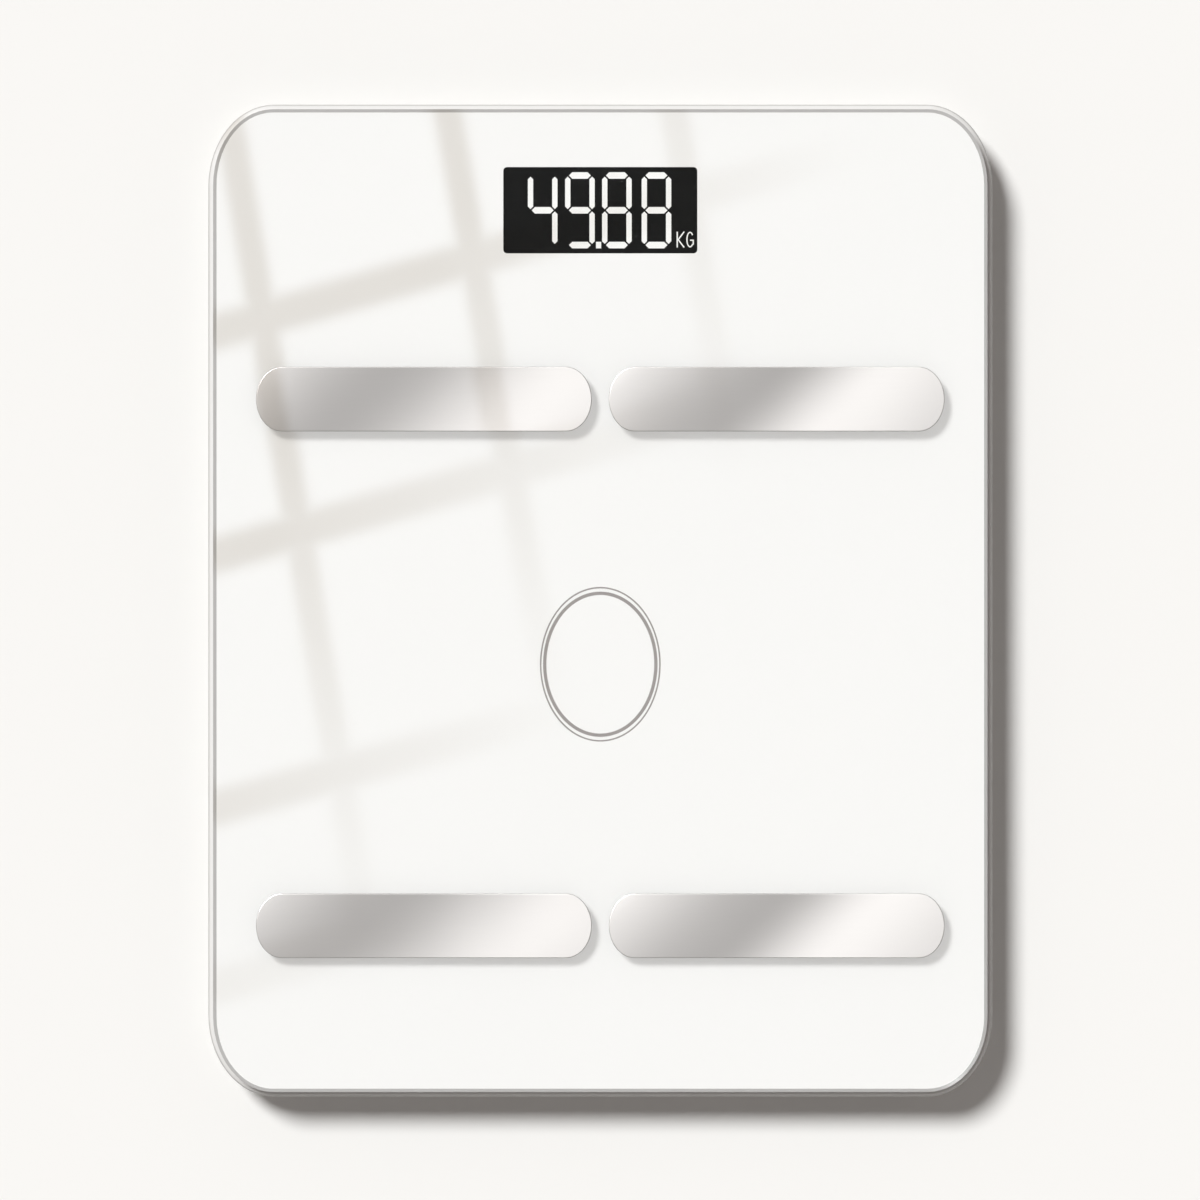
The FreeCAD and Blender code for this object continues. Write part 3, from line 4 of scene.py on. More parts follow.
import bmesh
import bpy
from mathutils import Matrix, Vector


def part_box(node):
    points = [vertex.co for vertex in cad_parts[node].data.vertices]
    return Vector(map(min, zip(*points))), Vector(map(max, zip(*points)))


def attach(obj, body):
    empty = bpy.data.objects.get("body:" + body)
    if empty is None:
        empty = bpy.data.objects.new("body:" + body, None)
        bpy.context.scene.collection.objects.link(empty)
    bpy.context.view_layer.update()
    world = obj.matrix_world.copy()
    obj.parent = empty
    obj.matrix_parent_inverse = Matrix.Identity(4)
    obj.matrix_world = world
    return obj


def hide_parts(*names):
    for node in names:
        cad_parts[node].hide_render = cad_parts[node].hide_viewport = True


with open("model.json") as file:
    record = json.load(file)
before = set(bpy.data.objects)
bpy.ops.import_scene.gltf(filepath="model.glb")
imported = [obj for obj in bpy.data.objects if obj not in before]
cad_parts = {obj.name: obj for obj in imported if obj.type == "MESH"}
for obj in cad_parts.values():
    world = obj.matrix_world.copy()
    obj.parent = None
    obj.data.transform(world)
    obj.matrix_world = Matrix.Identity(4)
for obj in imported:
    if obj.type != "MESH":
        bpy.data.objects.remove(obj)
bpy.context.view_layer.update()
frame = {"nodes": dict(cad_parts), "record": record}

MM = 0.001

# ------------------------------------------------------------------- driving sizes

VIEW_WIDTH = 402.7 * MM          # width of the picture at the glass
LENS = 200.0                     # millimetres, on the default 36 mm sensor
SENSOR = 36.0
CAMERA_OFFSET = (-0.1 * MM, 0.2 * MM)
FLOOR_SIZE = 6.0
OBJECT_MARGIN = 10 * MM          # from the base's outline in to the floor that passes light

DIGIT_HEIGHT = 25.6 * MM
DIGIT_WIDTH = 9.95 * MM
BAR_TALL = 2.2 * MM              # height of the level segments
BAR_WIDE = 1.78 * MM             # width of the upright segments
SEGMENT_GAP = 0.40 * MM
INK_GAP = 0.02 * MM              # between the back of the glass and the print
PRINT_HEIGHT = 0.03 * MM         # how far the reading stands above the display glass

SEGMENTS = {
    "4": "bcfg",
    "9": "abcdfg",
    "8": "abcdefg",
}
READING = (("4", -24.35), ("9", -11.83), ("8", 0.6), ("8", 13.9))   # left edges, mm
POINT_X, POINT_WIDTH, POINT_HEIGHT = -1.45 * MM, 1.75 * MM, 2.2 * MM

UNIT_LEFT, UNIT_BOTTOM, UNIT_HEIGHT = 25.65 * MM, -12.5 * MM, 5.3 * MM
UNIT_STROKE = 0.42 * MM
LETTER_WIDTH = UNIT_HEIGHT * 0.48
LETTER_PITCH = LETTER_WIDTH * 1.28
FORK = UNIT_STROKE * 1.3         # from the left of the K to where its arms meet
ARC_START, ARC_END = 38, 322     # degrees of the round part of the G
SPUR_BOTTOM = UNIT_HEIGHT * 0.17

# --------------------------------------------------------------- look of the pieces

# Size of a normal's Z: above FLAT is a face of the glass, from BEVEL to FLAT its ground bevel.
FLAT, BEVEL = 0.95, 0.25
GROUND_AND_SHADE_SHARE = 0.8               # of the bevel's shine that gives way to its grey, partly ground edge and partly painted shade
EVEN_BEVEL_SLOPE = -0.35              # evens the bevel's shading normal out and faces it inwards, so that its painted grey keeps one tone all round
BACK_DEPTH = 0.1 * MM            # of the glass that counts as its printed back

SATIN_DARK, SATIN_LIGHT = (0.668, 0.646, 0.633), (0.688, 0.666, 0.653)
# painted shade: dark colour of the strips' rounded rims, in place of the highlight they would
# catch
STRIP_EDGE_SHADE = (0.24, 0.225, 0.22)
STRIP_TURN = (0.7, 0.98)         # Z of the normal where the rim's painted shade is whole, and where it ends
BAND_SLANT = 1.08                # how far the dull band moves along per unit across
BOW_FROM, BOW_SPAN = -0.2, 1.4   # range of the bow curves, in strip lengths
# how much a strip shines along its length: position in strip lengths, level
LEFT_BOW = ((-0.2, 1.0), (0.0, 0.68), (0.30, 0.10), (0.56, 0.62), (0.84, 0.94), (1.1, 0.75))
RIGHT_BOW = ((-0.2, 1.0), (0.0, 0.90), (0.39, 0.0), (0.57, 0.69), (0.75, 0.98), (1.1, 0.63))
BOW_TILT, BOW_REST = 0.1175, 0.0145   # radians: leans to the light by TILT * level - REST
DISH = 0.22                      # radians per metre, as on a slightly sunken platform

SHELL_DARK, SHELL_LIGHT = (0.67, 0.66, 0.65), (0.69, 0.68, 0.67)
# painted shade: the shell's sides are coloured darker than its top, as they would fall in shade
SHELL_SIDE_SHADE = (0.43, 0.42, 0.41)
SHELL_TURN = (0.5, 0.75)         # size of the normal's Z where the painted side shade is whole, and ends
SHELL_SIDE_BOUNCED = (0.16, 0.16, 0.16)   # keeps the side from lighting the shadow beside it

SLEEVE, SLEEVE_BAND = (0.02, 0.045, 0.075), (0.55, 0.56, 0.58)
BATTERY_STEEL = (0.55, 0.55, 0.54)
BAND_START, NUB_START = 0.74, 0.98    # shares of a battery's length from its flat end
CAP_FACING = 0.6                 # size of a normal's Y above which it is an end face
SEGMENT_GLOW = 0.36

# -------------------------------------------------------------------------- studio

SUN_STRENGTH = 3.59
SUN_COLOUR = (0.991, 1.0, 0.998)
SUN_ANGLE = 0.275
SUN_FROM = Vector((-0.478, 0.528, 1.0))
UNDER_STRIPS = 0.55              # share of the sun that the electrodes do not block
SKY_FILL = 0.27
FILL_COLOUR = (1.0, 0.935, 0.895)
BACKDROP = (0.93, 0.92, 0.905)
GROUND_FILL = 0.85               # lights the underside through the floor
HORIZON = 0.02                   # half the height over which ground turns to sky
# brightness of the surroundings in mirror reflections: sine of the height, level
MIRRORED = ((0.0, 0.28), (0.42, 0.38), (0.60, 0.78), (0.92, 0.02))
FLOOR_COLOUR = (0.80, 0.793, 0.779)
# painted shade: dark floor under the object, so that the gap beneath the base looks shadowed
FLOOR_PAINTED_SHADE = (0.22, 0.21, 0.20)

SHADE_HEIGHT = 2.0 * MM          # of the window-bar shade above the electrodes
SHADE_STEP = 2.0 * MM
BAR_CORE, BAR_EDGE = 2.8, 6.9    # mm from a bar's middle: full shade to here, none from here
BAR_SHADE = (0.76, 0.735, 0.70)
BAR_LEAD = 0.05                  # share of its length that a bar reaches back past its start
LEVEL_WIDENING = 1.25            # of the level bars over the upright ones
# start x, y and end x, y in mm, darkness at the start, share of the length before it fades
WINDOW_BARS = (
    (-125, 163, -77, -121, 1.0, 0.40),
    (-51, 163, -15, -42, 1.0, 0.15),
    (25, 163, 46, 40, 0.55, 0.0),
    (-130, 90, 87, 152, 1.0, 0.33),
    (-130, 15, 47, 66, 1.0, 0.10),
    (-130, -70, -4, -34, 0.8, 0.0),
    (-130, -130, -57, -109, 0.38, 0.0),
)


# ------------------------------------------------------------------------- helpers

def middle(node):
    """Centre of a CAD node's box."""
    low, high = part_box(node)
    return [(start + end) / 2 for start, end in zip(low, high)]


def add_object(name, data):
    """New object in the scene."""
    made = bpy.data.objects.new(name, data)
    bpy.context.scene.collection.objects.link(made)
    return made


def mesh_object(name, shape):
    """New object in the scene from a finished bmesh."""
    mesh = bpy.data.meshes.new(name)
    shape.to_mesh(mesh)
    shape.free()
    return add_object(name, mesh)


class Graph:
    """A node tree and short ways to wire it."""

    def __init__(self, tree):
        self.tree = tree

    def node(self, kind, **settings):
        made = self.tree.nodes.new(kind)
        for key, value in settings.items():
            setattr(made, key, value)
        return made

    def link(self, source, target):
        self.tree.links.new(source, target)

    def math(self, operation, first, second=None):
        """Result of a math node on sockets or numbers."""
        made = self.node("ShaderNodeMath", operation=operation)
        for slot, value in enumerate((first, second)):
            if value is None:
                continue
            if isinstance(value, (int, float)):
                made.inputs[slot].default_value = value
            else:
                self.link(value, made.inputs[slot])
        return made.outputs[0]

    def split(self, vector):
        """Outputs X, Y and Z of a vector socket."""
        made = self.node("ShaderNodeSeparateXYZ")
        self.link(vector, made.inputs["Vector"])
        return made.outputs

    def ramp(self, source, low, high, start=0.3, end=0.7):
        """Maps source between start and end to the range low to high."""
        made = self.node("ShaderNodeMapRange")
        made.inputs["From Min"].default_value = start
        made.inputs["From Max"].default_value = end
        made.inputs["To Min"].default_value = low
        made.inputs["To Max"].default_value = high
        self.link(source, made.inputs["Value"])
        return made.outputs["Result"]

    def curve(self, source, stops, tint=(1.0, 1.0, 1.0), interpolation="LINEAR"):
        """Colour that follows stops, each a position and a level of the tint."""
        made = self.node("ShaderNodeValToRGB")
        made.color_ramp.interpolation = interpolation
        elements = made.color_ramp.elements
        while len(elements) < len(stops):
            elements.new(0.5)
        for element, (position, level) in zip(elements, stops):
            element.position = position
            element.color = (*(level * share for share in tint), 1.0)
        self.link(source, made.inputs["Fac"])
        return made.outputs["Color"]

    def blend(self, factor, first, second):
        """Mix of two colours, each a triple or a socket."""
        made = self.node("ShaderNodeMix", data_type="RGBA")
        self.link(factor, made.inputs[0])
        for slot, value in ((6, first), (7, second)):
            if isinstance(value, tuple):
                made.inputs[slot].default_value = (*value, 1.0)
            else:
                self.link(value, made.inputs[slot])
        return made.outputs[2]

    def background(self, colour):
        made = self.node("ShaderNodeBackground")
        made.inputs["Color"].default_value = (*colour, 1.0)
        return made

    def clear(self, colour=(1.0, 1.0, 1.0)):
        """Transparent shader."""
        made = self.node("ShaderNodeBsdfTransparent")
        made.inputs["Color"].default_value = (*colour, 1.0)
        return made

    def mix(self, factor, first, second):
        """Mix of two shader nodes."""
        made = self.node("ShaderNodeMixShader")
        for slot, source in enumerate((factor, first.outputs[0], second.outputs[0])):
            self.link(source, made.inputs[slot])
        return made


class Look(Graph):
    """A Principled material."""

    def __init__(self, name, colour, roughness=0.5, metallic=0.0, specular=0.5):
        self.material = bpy.data.materials.new(name)
        self.material.use_nodes = True
        super().__init__(self.material.node_tree)
        self.shader = self.tree.nodes["Principled BSDF"]
        self.colour = colour
        self.set("Base Color", (*colour, 1.0))
        self.set("Roughness", roughness)
        self.set("Metallic", metallic)
        self.set("Specular IOR Level", specular)

    def set(self, socket, value):
        self.shader.inputs[socket].default_value = value

    def drive(self, socket, source):
        self.link(source, self.shader.inputs[socket])

    def show(self, shader):
        """Makes a shader node the surface instead of the plain Principled one."""
        self.link(shader.outputs[0], self.tree.nodes["Material Output"].inputs["Surface"])

    def place(self, scale=(1.0, 1.0, 1.0)):
        """Object coordinates in metres, stretched."""
        coordinates = self.node("ShaderNodeTexCoord")
        mapping = self.node("ShaderNodeMapping")
        mapping.inputs["Scale"].default_value = scale
        self.link(coordinates.outputs["Object"], mapping.inputs["Vector"])
        return mapping.outputs["Vector"]

    def noise(self, size, detail=2.0, stretch=(1.0, 1.0, 1.0)):
        """Noise whose features are about size metres across."""
        made = self.node("ShaderNodeTexNoise")
        made.inputs["Scale"].default_value = 1.0 / size
        made.inputs["Detail"].default_value = detail
        self.link(self.place(stretch), made.inputs["Vector"])
        return made.outputs["Fac"]

    def vary_colour(self, factor, amount):
        """Shades the base colour by amount either way as factor varies."""
        dark = tuple(channel * (1.0 - amount) for channel in self.colour)
        light = tuple(min(channel * (1.0 + amount), 1.0) for channel in self.colour)
        self.drive("Base Color", self.blend(factor, dark, light))

    def vary_roughness(self, source, low, high):
        self.drive("Roughness", self.ramp(source, low, high))

    def bump(self, height, distance, strength=1.0):
        made = self.node("ShaderNodeBump")
        made.inputs["Strength"].default_value = strength
        made.inputs["Distance"].default_value = distance
        self.link(height, made.inputs["Height"])
        self.drive("Normal", made.outputs["Normal"])


# ----------------------------------------------------------------------- materials

def moulded_plastic(name, colour, roughness=0.45, grain=0.45 * MM, depth=0.02 * MM):
    """Moulded plastic with a fine spark-eroded texture and slight unevenness."""
    look = Look(name, colour, roughness)
    look.vary_colour(look.noise(28 * MM, 3.0), 0.02)
    look.vary_roughness(look.noise(9 * MM, 4.0), roughness - 0.06, roughness + 0.06)
    look.bump(look.noise(grain, 2.0), depth, 0.5)
    return look.material


def bright_metal(name, colour, roughness=0.22):
    """Plated metal with faint drawing marks."""
    look = Look(name, colour, roughness, metallic=1.0)
    look.vary_colour(look.noise(4 * MM, 3.0), 0.06)
    look.vary_roughness(look.noise(1.2 * MM, 4.0), roughness - 0.05, roughness + 0.1)
    look.bump(look.noise(0.25 * MM, 2.0), 0.004 * MM, 0.4)
    return look.material


def ground_edge_and_shade(look, normal):
    """Shader of the glass's ground bevel, whose grey is partly the ground edge's tone and partly
    painted shade for the dark line of the bevel.
    """
    ground = look.node("ShaderNodeBsdfPrincipled")
    # partly painted shade: a grey deeper than a ground edge, standing in for the bevel's dark line
    ground.inputs["Base Color"].default_value = (0.46, 0.445, 0.435, 1.0)
    look.link(look.ramp(look.noise(3 * MM, 3.0), 0.32, 0.48), ground.inputs["Roughness"])
    frosted = look.node("ShaderNodeVectorMath", operation="MULTIPLY")
    frosted.inputs[1].default_value = (EVEN_BEVEL_SLOPE, EVEN_BEVEL_SLOPE, 1.0)
    look.link(normal, frosted.inputs[0])
    look.link(frosted.outputs["Vector"], ground.inputs["Normal"])
    return ground


def clear_glass():
    """Clear glass with a ground edge, in contact with the print on its back.

    Light reaches the print through the faces, and the edge shades the rim outside it.
    """
    look = Look("clear_glass", (0.985, 0.995, 0.992), roughness=0.0)
    look.set("Transmission Weight", 1.0)
    look.set("IOR", 1.5)
    geometry = look.node("ShaderNodeNewGeometry")
    tilt = look.math("ABSOLUTE", look.split(geometry.outputs["True Normal"])["Z"])
    faces = look.math("GREATER_THAN", tilt, FLAT)
    bevel = look.math("SUBTRACT", look.math("GREATER_THAN", tilt, BEVEL), faces)

    path = look.node("ShaderNodeLightPath").outputs
    light = look.math("MAXIMUM", path["Is Shadow Ray"], path["Is Diffuse Ray"])
    open_side = look.math("MAXIMUM", faces, geometry.outputs["Backfacing"])
    shaded = look.math("MULTIPLY", light, look.math("SUBTRACT", 1.0, open_side))
    height = look.split(look.place())["Z"]
    back = look.math("LESS_THAN", height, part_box("glass_platform")[0][2] + BACK_DEPTH)
    printed = look.math("MULTIPLY", back, faces)

    ground = ground_edge_and_shade(look, geometry.outputs["Normal"])
    frosted = look.math("MAXIMUM", look.math("MULTIPLY", bevel, GROUND_AND_SHADE_SHARE), shaded)
    edge = look.mix(frosted, look.shader, ground)
    passing = look.math("MAXIMUM", look.math("MULTIPLY", light, open_side), printed)
    look.show(look.mix(passing, edge, look.clear((0.985, 0.99, 0.988))))
    return look.material


def white_print():
    look = Look("white_print", (0.873, 0.856, 0.853), roughness=0.4, specular=0.1)
    look.vary_colour(look.noise(60 * MM, 3.0), 0.006)
    look.vary_roughness(look.noise(5 * MM, 3.0), 0.35, 0.5)
    look.bump(look.noise(40 * MM, 2.0), 0.02 * MM, 0.3)
    return look.material


def grey_print():
    look = Look("grey_print", (0.30, 0.272, 0.265), roughness=0.5)
    look.vary_colour(look.noise(2.0 * MM, 3.0), 0.05)
    look.vary_roughness(look.noise(1.0 * MM, 3.0), 0.42, 0.58)
    return look.material


def strip_share(look, x, y, on_right):
    """Place along a strip as a share of its length, moved by the slant of its band."""
    low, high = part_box("electrode_toe_left")
    length, pitch = high[0] - low[0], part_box("electrode_toe_right")[0][0] - low[0]
    toe_y, heel_y = middle("electrode_toe_left")[1], middle("electrode_heel_left")[1]
    at_toe = look.math("GREATER_THAN", y, 0.0)
    from_left = look.math("SUBTRACT", x, low[0])
    along = look.math("SUBTRACT", from_left, look.math("MULTIPLY", on_right, pitch))
    centre = look.math("ADD", look.math("MULTIPLY", at_toe, toe_y - heel_y), heel_y)
    across = look.math("SUBTRACT", y, centre)
    slant = look.math("SUBTRACT", along, look.math("MULTIPLY", across, BAND_SLANT))
    return look.math("DIVIDE", slant, length)


def bow_level(look, share, on_right):
    """Level of a strip's bow curve, from 0 to 1."""
    bow = look.node("ShaderNodeMix", data_type="FLOAT")
    look.link(on_right, bow.inputs[0])
    along = look.math("DIVIDE", look.math("SUBTRACT", share, BOW_FROM), BOW_SPAN)
    for slot, levels in ((2, LEFT_BOW), (3, RIGHT_BOW)):
        stops = [((position - BOW_FROM) / BOW_SPAN, level) for position, level in levels]
        look.link(look.curve(along, stops, interpolation="B_SPLINE"), bow.inputs[slot])
    return bow.outputs[0]


def brushed_electrode():
    """Satin stainless strips, shaded as if bowed so that their shine changes slantwise."""
    look = Look("brushed_electrode", (0.678, 0.656, 0.643), roughness=0.37, metallic=1.0)
    normal = look.node("ShaderNodeNewGeometry").outputs["Normal"]
    fine = look.noise(0.3 * MM, 3.0, stretch=(0.03, 1.0, 1.0))
    satin = look.blend(fine, SATIN_DARK, SATIN_LIGHT)
    # painted shade: the rounded rims take the dark colour instead of catching the light
    rim = look.ramp(look.split(normal)["Z"], 1.0, 0.0, *STRIP_TURN)
    look.drive("Base Color", look.blend(rim, satin, STRIP_EDGE_SHADE))
    look.vary_roughness(look.noise(40 * MM, 2.0), 0.366, 0.374)

    place = look.split(look.place())
    x, y = place["X"], place["Y"]
    on_right = look.math("GREATER_THAN", x, 0.0)
    level = bow_level(look, strip_share(look, x, y, on_right), on_right)
    tilt = look.math("SUBTRACT", look.math("MULTIPLY", level, BOW_TILT), BOW_REST)
    flat = SUN_FROM.xy.normalized()
    outwards = look.math("ADD", look.math("MULTIPLY", x, flat.x),
                         look.math("MULTIPLY", y, flat.y))
    tilt = look.math("SUBTRACT", tilt, look.math("MULTIPLY", outwards, DISH))

    towards = look.node("ShaderNodeCombineXYZ")
    look.link(look.math("MULTIPLY", tilt, flat.x), towards.inputs["X"])
    look.link(look.math("MULTIPLY", tilt, flat.y), towards.inputs["Y"])
    tilted = look.node("ShaderNodeVectorMath", operation="ADD")
    look.link(normal, tilted.inputs[0])
    look.link(towards.outputs["Vector"], tilted.inputs[1])
    unit = look.node("ShaderNodeVectorMath", operation="NORMALIZE")
    look.link(tilted.outputs["Vector"], unit.inputs[0])
    look.drive("Normal", unit.outputs["Vector"])
    return look.material


def foam_tape():
    look = Look("foam_tape", (0.82, 0.82, 0.80), roughness=0.9, specular=0.2)
    look.vary_colour(look.noise(0.8 * MM, 4.0), 0.06)
    look.bump(look.noise(0.25 * MM, 3.0), 0.05 * MM, 0.8)
    return look.material


def shell_plastic():
    """White moulded plastic, painted grey as shade where it turns down to the side."""
    look = Look("shell_plastic", (0.76, 0.75, 0.735), roughness=0.45)
    normal = look.node("ShaderNodeNewGeometry").outputs["Normal"]
    level = look.math("ABSOLUTE", look.split(normal)["Z"])
    # painted shade: the colour darkens as the surface turns down to the side
    side_shade_mask = look.ramp(level, 1.0, 0.0, *SHELL_TURN)
    patchy = look.blend(look.noise(28 * MM, 3.0), SHELL_DARK, SHELL_LIGHT)
    bounced = look.node("ShaderNodeLightPath").outputs["Is Diffuse Ray"]
    side = look.blend(bounced, SHELL_SIDE_SHADE, SHELL_SIDE_BOUNCED)
    look.drive("Base Color", look.blend(side_shade_mask, patchy, side))
    look.vary_roughness(look.noise(9 * MM, 4.0), 0.39, 0.51)
    look.bump(look.noise(0.45 * MM, 2.0), 0.02 * MM, 0.5)
    return look.material


def foot_rubber():
    look = Look("foot_rubber", (0.30, 0.30, 0.30), roughness=0.75, specular=0.3)
    look.vary_colour(look.noise(6 * MM, 4.0), 0.08)
    look.vary_roughness(look.noise(2 * MM, 3.0), 0.65, 0.85)
    look.bump(look.noise(0.5 * MM, 3.0), 0.04 * MM, 0.7)
    return look.material


def display_glass():
    """Black negative display: a dark polariser, with the faintest mottle."""
    look = Look("display_glass", (0.011, 0.011, 0.011), roughness=0.2, specular=0.1)
    look.vary_colour(look.noise(0.5 * MM, 2.0), 0.05)
    look.vary_roughness(look.noise(30 * MM, 2.0), 0.24, 0.27)
    return look.material


def lit_segment():
    """Display segments lit from behind."""
    look = Look("lit_segment", (0.60, 0.59, 0.575), roughness=0.4, specular=0.2)
    glow = look.ramp(look.noise(3 * MM, 2.0), 0.84, 0.94)
    look.drive("Emission Color", look.blend(glow, (0.0, 0.0, 0.0), (1.0, 1.0, 1.0)))
    look.set("Emission Strength", SEGMENT_GLOW)
    return look.material


def circuit_board():
    look = Look("circuit_board", (0.02, 0.12, 0.05), roughness=0.35)
    look.vary_colour(look.noise(1.5 * MM, 4.0), 0.25)
    look.vary_roughness(look.noise(4 * MM, 3.0), 0.3, 0.45)
    look.bump(look.noise(0.6 * MM, 2.0), 0.01 * MM, 0.4)
    return look.material


def battery_sleeve(node, towards_display):
    """Dark sleeve with a pale band at the positive end, and bare steel ends."""
    look = Look(node, SLEEVE, roughness=0.3)
    low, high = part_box(node)
    start, end = (low[1], high[1]) if towards_display else (high[1], low[1])
    from_start = look.math("SUBTRACT", look.split(look.place())["Y"], start)
    share = look.math("DIVIDE", from_start, end - start)
    banded = look.blend(look.math("GREATER_THAN", share, BAND_START), SLEEVE, SLEEVE_BAND)
    facing = look.split(look.node("ShaderNodeNewGeometry").outputs["Normal"])["Y"]
    cap = look.math("GREATER_THAN", look.math("ABSOLUTE", facing), CAP_FACING)
    steel = look.math("MAXIMUM", cap, look.math("GREATER_THAN", share, NUB_START))
    look.drive("Base Color", look.blend(steel, banded, BATTERY_STEEL))
    look.drive("Metallic", steel)
    look.vary_roughness(look.noise(6 * MM, 3.0), 0.24, 0.36)
    return look.material


def wire(name, colour):
    look = Look(name, colour, roughness=0.45)
    look.vary_colour(look.noise(5 * MM, 3.0), 0.08)
    look.vary_roughness(look.noise(2 * MM, 3.0), 0.38, 0.52)
    return look.material


def make_looks():
    """A material for each slot of the record, for each battery by its name, and for the digits."""
    return {
        "clear_glass": clear_glass(),
        "white_print": white_print(),
        "grey_print": grey_print(),
        "foam_tape": foam_tape(),
        "stainless_electrode": brushed_electrode(),
        "nickel_plated_steel": bright_metal("nickel_plated_steel", (0.66, 0.63, 0.58)),
        "tinned_copper": bright_metal("tinned_copper", (0.68, 0.68, 0.67), 0.3),
        "zinc_plated_steel": bright_metal("zinc_plated_steel", (0.6, 0.61, 0.64), 0.28),
        "spring_steel": bright_metal("spring_steel", (0.5, 0.51, 0.52), 0.34),
        "shell_plastic": shell_plastic(),
        "button_plastic": moulded_plastic("button_plastic", (0.35, 0.36, 0.37), 0.4),
        "bracket_plastic": moulded_plastic("bracket_plastic", (0.7, 0.7, 0.68), 0.5),
        "foot_plastic": moulded_plastic("foot_plastic", (0.74, 0.73, 0.71), 0.5),
        "foot_rubber": foot_rubber(),
        "gauge_coating": moulded_plastic("gauge_coating", (0.8, 0.8, 0.78), 0.35,
                                         grain=1.2 * MM, depth=0.1 * MM),
        "black_foam": moulded_plastic("black_foam", (0.012, 0.012, 0.012), 0.9),
        "display_glass": display_glass(),
        "backlight_plastic": moulded_plastic("backlight_plastic", (0.8, 0.8, 0.8), 0.3),
        "circuit_board": circuit_board(),
        "chip_resin": moulded_plastic("chip_resin", (0.01, 0.01, 0.01), 0.35),
        "component_ceramic": moulded_plastic("component_ceramic", (0.3, 0.22, 0.14), 0.5),
        "connector_plastic": moulded_plastic("connector_plastic", (0.8, 0.78, 0.7), 0.4),
        "switch_plastic": moulded_plastic("switch_plastic", (0.02, 0.02, 0.02), 0.4),
        "battery_left": battery_sleeve("battery_left", True),
        "battery_middle": battery_sleeve("battery_middle", False),
        "battery_right": battery_sleeve("battery_right", True),
        "red_wire": wire("red_wire", (0.45, 0.02, 0.015)),
        "black_wire": wire("black_wire", (0.015, 0.015, 0.015)),
        "grey_wire": wire("grey_wire", (0.35, 0.35, 0.35)),
        "sensor_wire": wire("sensor_wire", (0.6, 0.6, 0.6)),
        "lit_segment": lit_segment(),
    }


def dress_nodes(looks):
    for part in frame["record"]["subparts"]:
        node = frame["nodes"][part["node"]]
        node.data.materials.clear()
        node.data.materials.append(looks.get(part["node"]) or looks[part["material_slot"]])


def lay_print(name, node, slot, looks):
    """Copy of a printed layer whose top is a hair below the back of the glass.

    Two faces in the same place would show as grey triangles.
    """
    mesh = frame["nodes"][node].data.copy()
    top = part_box(node)[1][2] - INK_GAP
    for vertex in mesh.vertices:
        vertex.co.z = min(vertex.co.z, top)
    layer = add_object(name, mesh)
    mesh.materials.clear()
    mesh.materials.append(looks[slot])
    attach(layer, "scale")
    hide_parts(node)


# ----------------------------------------------------------------- display reading

def flat_solid(name, outlines, bottom, thickness):
    """Thin solid made of separate flat outlines, all raised by thickness."""
    shape = bmesh.new()
    for outline in outlines:
        lower = [shape.verts.new((x, y, bottom)) for x, y in outline]
        upper = [shape.verts.new((x, y, bottom + thickness)) for x, y in outline]
        shape.faces.new(reversed(lower))
        shape.faces.new(upper)
        for index in range(len(outline)):
            shape.faces.new((lower[index - 1], lower[index], upper[index], upper[index - 1]))
    bmesh.ops.recalc_face_normals(shape, faces=shape.faces)
    return mesh_object(name, shape)


def level_bar(left, right, middle_y):
    """Hexagon lying along X, pointed at both ends."""
    half = BAR_TALL / 2
    left, right = left + SEGMENT_GAP, right - SEGMENT_GAP
    return [
        (left, middle_y), (left + half, middle_y - half), (right - half, middle_y - half),
        (right, middle_y), (right - half, middle_y + half), (left + half, middle_y + half),
    ]


def upright_bar(low, high, middle_x):
    """Hexagon standing along Y, pointed at both ends."""
    half = BAR_WIDE / 2
    low, high = low + SEGMENT_GAP, high - SEGMENT_GAP
    return [
        (middle_x, low), (middle_x + half, low + half), (middle_x + half, high - half),
        (middle_x, high), (middle_x - half, high - half), (middle_x - half, low + half),
    ]


def digit_outlines(digit, left, centre_y):
    """Lit segments of one seven-segment digit."""
    inner_left = left + BAR_WIDE / 2
    inner_right = left + DIGIT_WIDTH - BAR_WIDE / 2
    top = centre_y + DIGIT_HEIGHT / 2 - BAR_TALL / 2
    low = centre_y - DIGIT_HEIGHT / 2 + BAR_TALL / 2
    shapes = {
        "a": level_bar(inner_left, inner_right, top),
        "g": level_bar(inner_left, inner_right, centre_y),
        "d": level_bar(inner_left, inner_right, low),
        "f": upright_bar(centre_y, top, inner_left),
        "b": upright_bar(centre_y, top, inner_right),
        "e": upright_bar(low, centre_y, inner_left),
        "c": upright_bar(low, centre_y, inner_right),
    }
    return [shapes[name] for name in SEGMENTS[digit]]


def build_reading(looks):
    centre_x, centre_y, _ = middle("lcd_gasket")
    outlines = []
    for digit, left in READING:
        outlines += digit_outlines(digit, centre_x + left * MM, centre_y)
    bottom = centre_y - DIGIT_HEIGHT / 2
    left = centre_x + POINT_X
    right, top = left + POINT_WIDTH, bottom + POINT_HEIGHT
    outlines.append([(left, bottom), (right, bottom), (right, top), (left, top)])
    reading = flat_solid("display_reading", outlines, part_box("lcd_panel")[1][2], PRINT_HEIGHT)
    reading.data.materials.append(looks["lit_segment"])
    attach(reading, "scale")


def stroke(start, end):
    """Rectangle round a straight pen stroke."""
    first, last = Vector(start), Vector(end)
    along = last - first
    side = Vector((-along.y, along.x)).normalized() * (UNIT_STROKE / 2)
    return [tuple(first - side), tuple(last - side), tuple(last + side), tuple(first + side)]


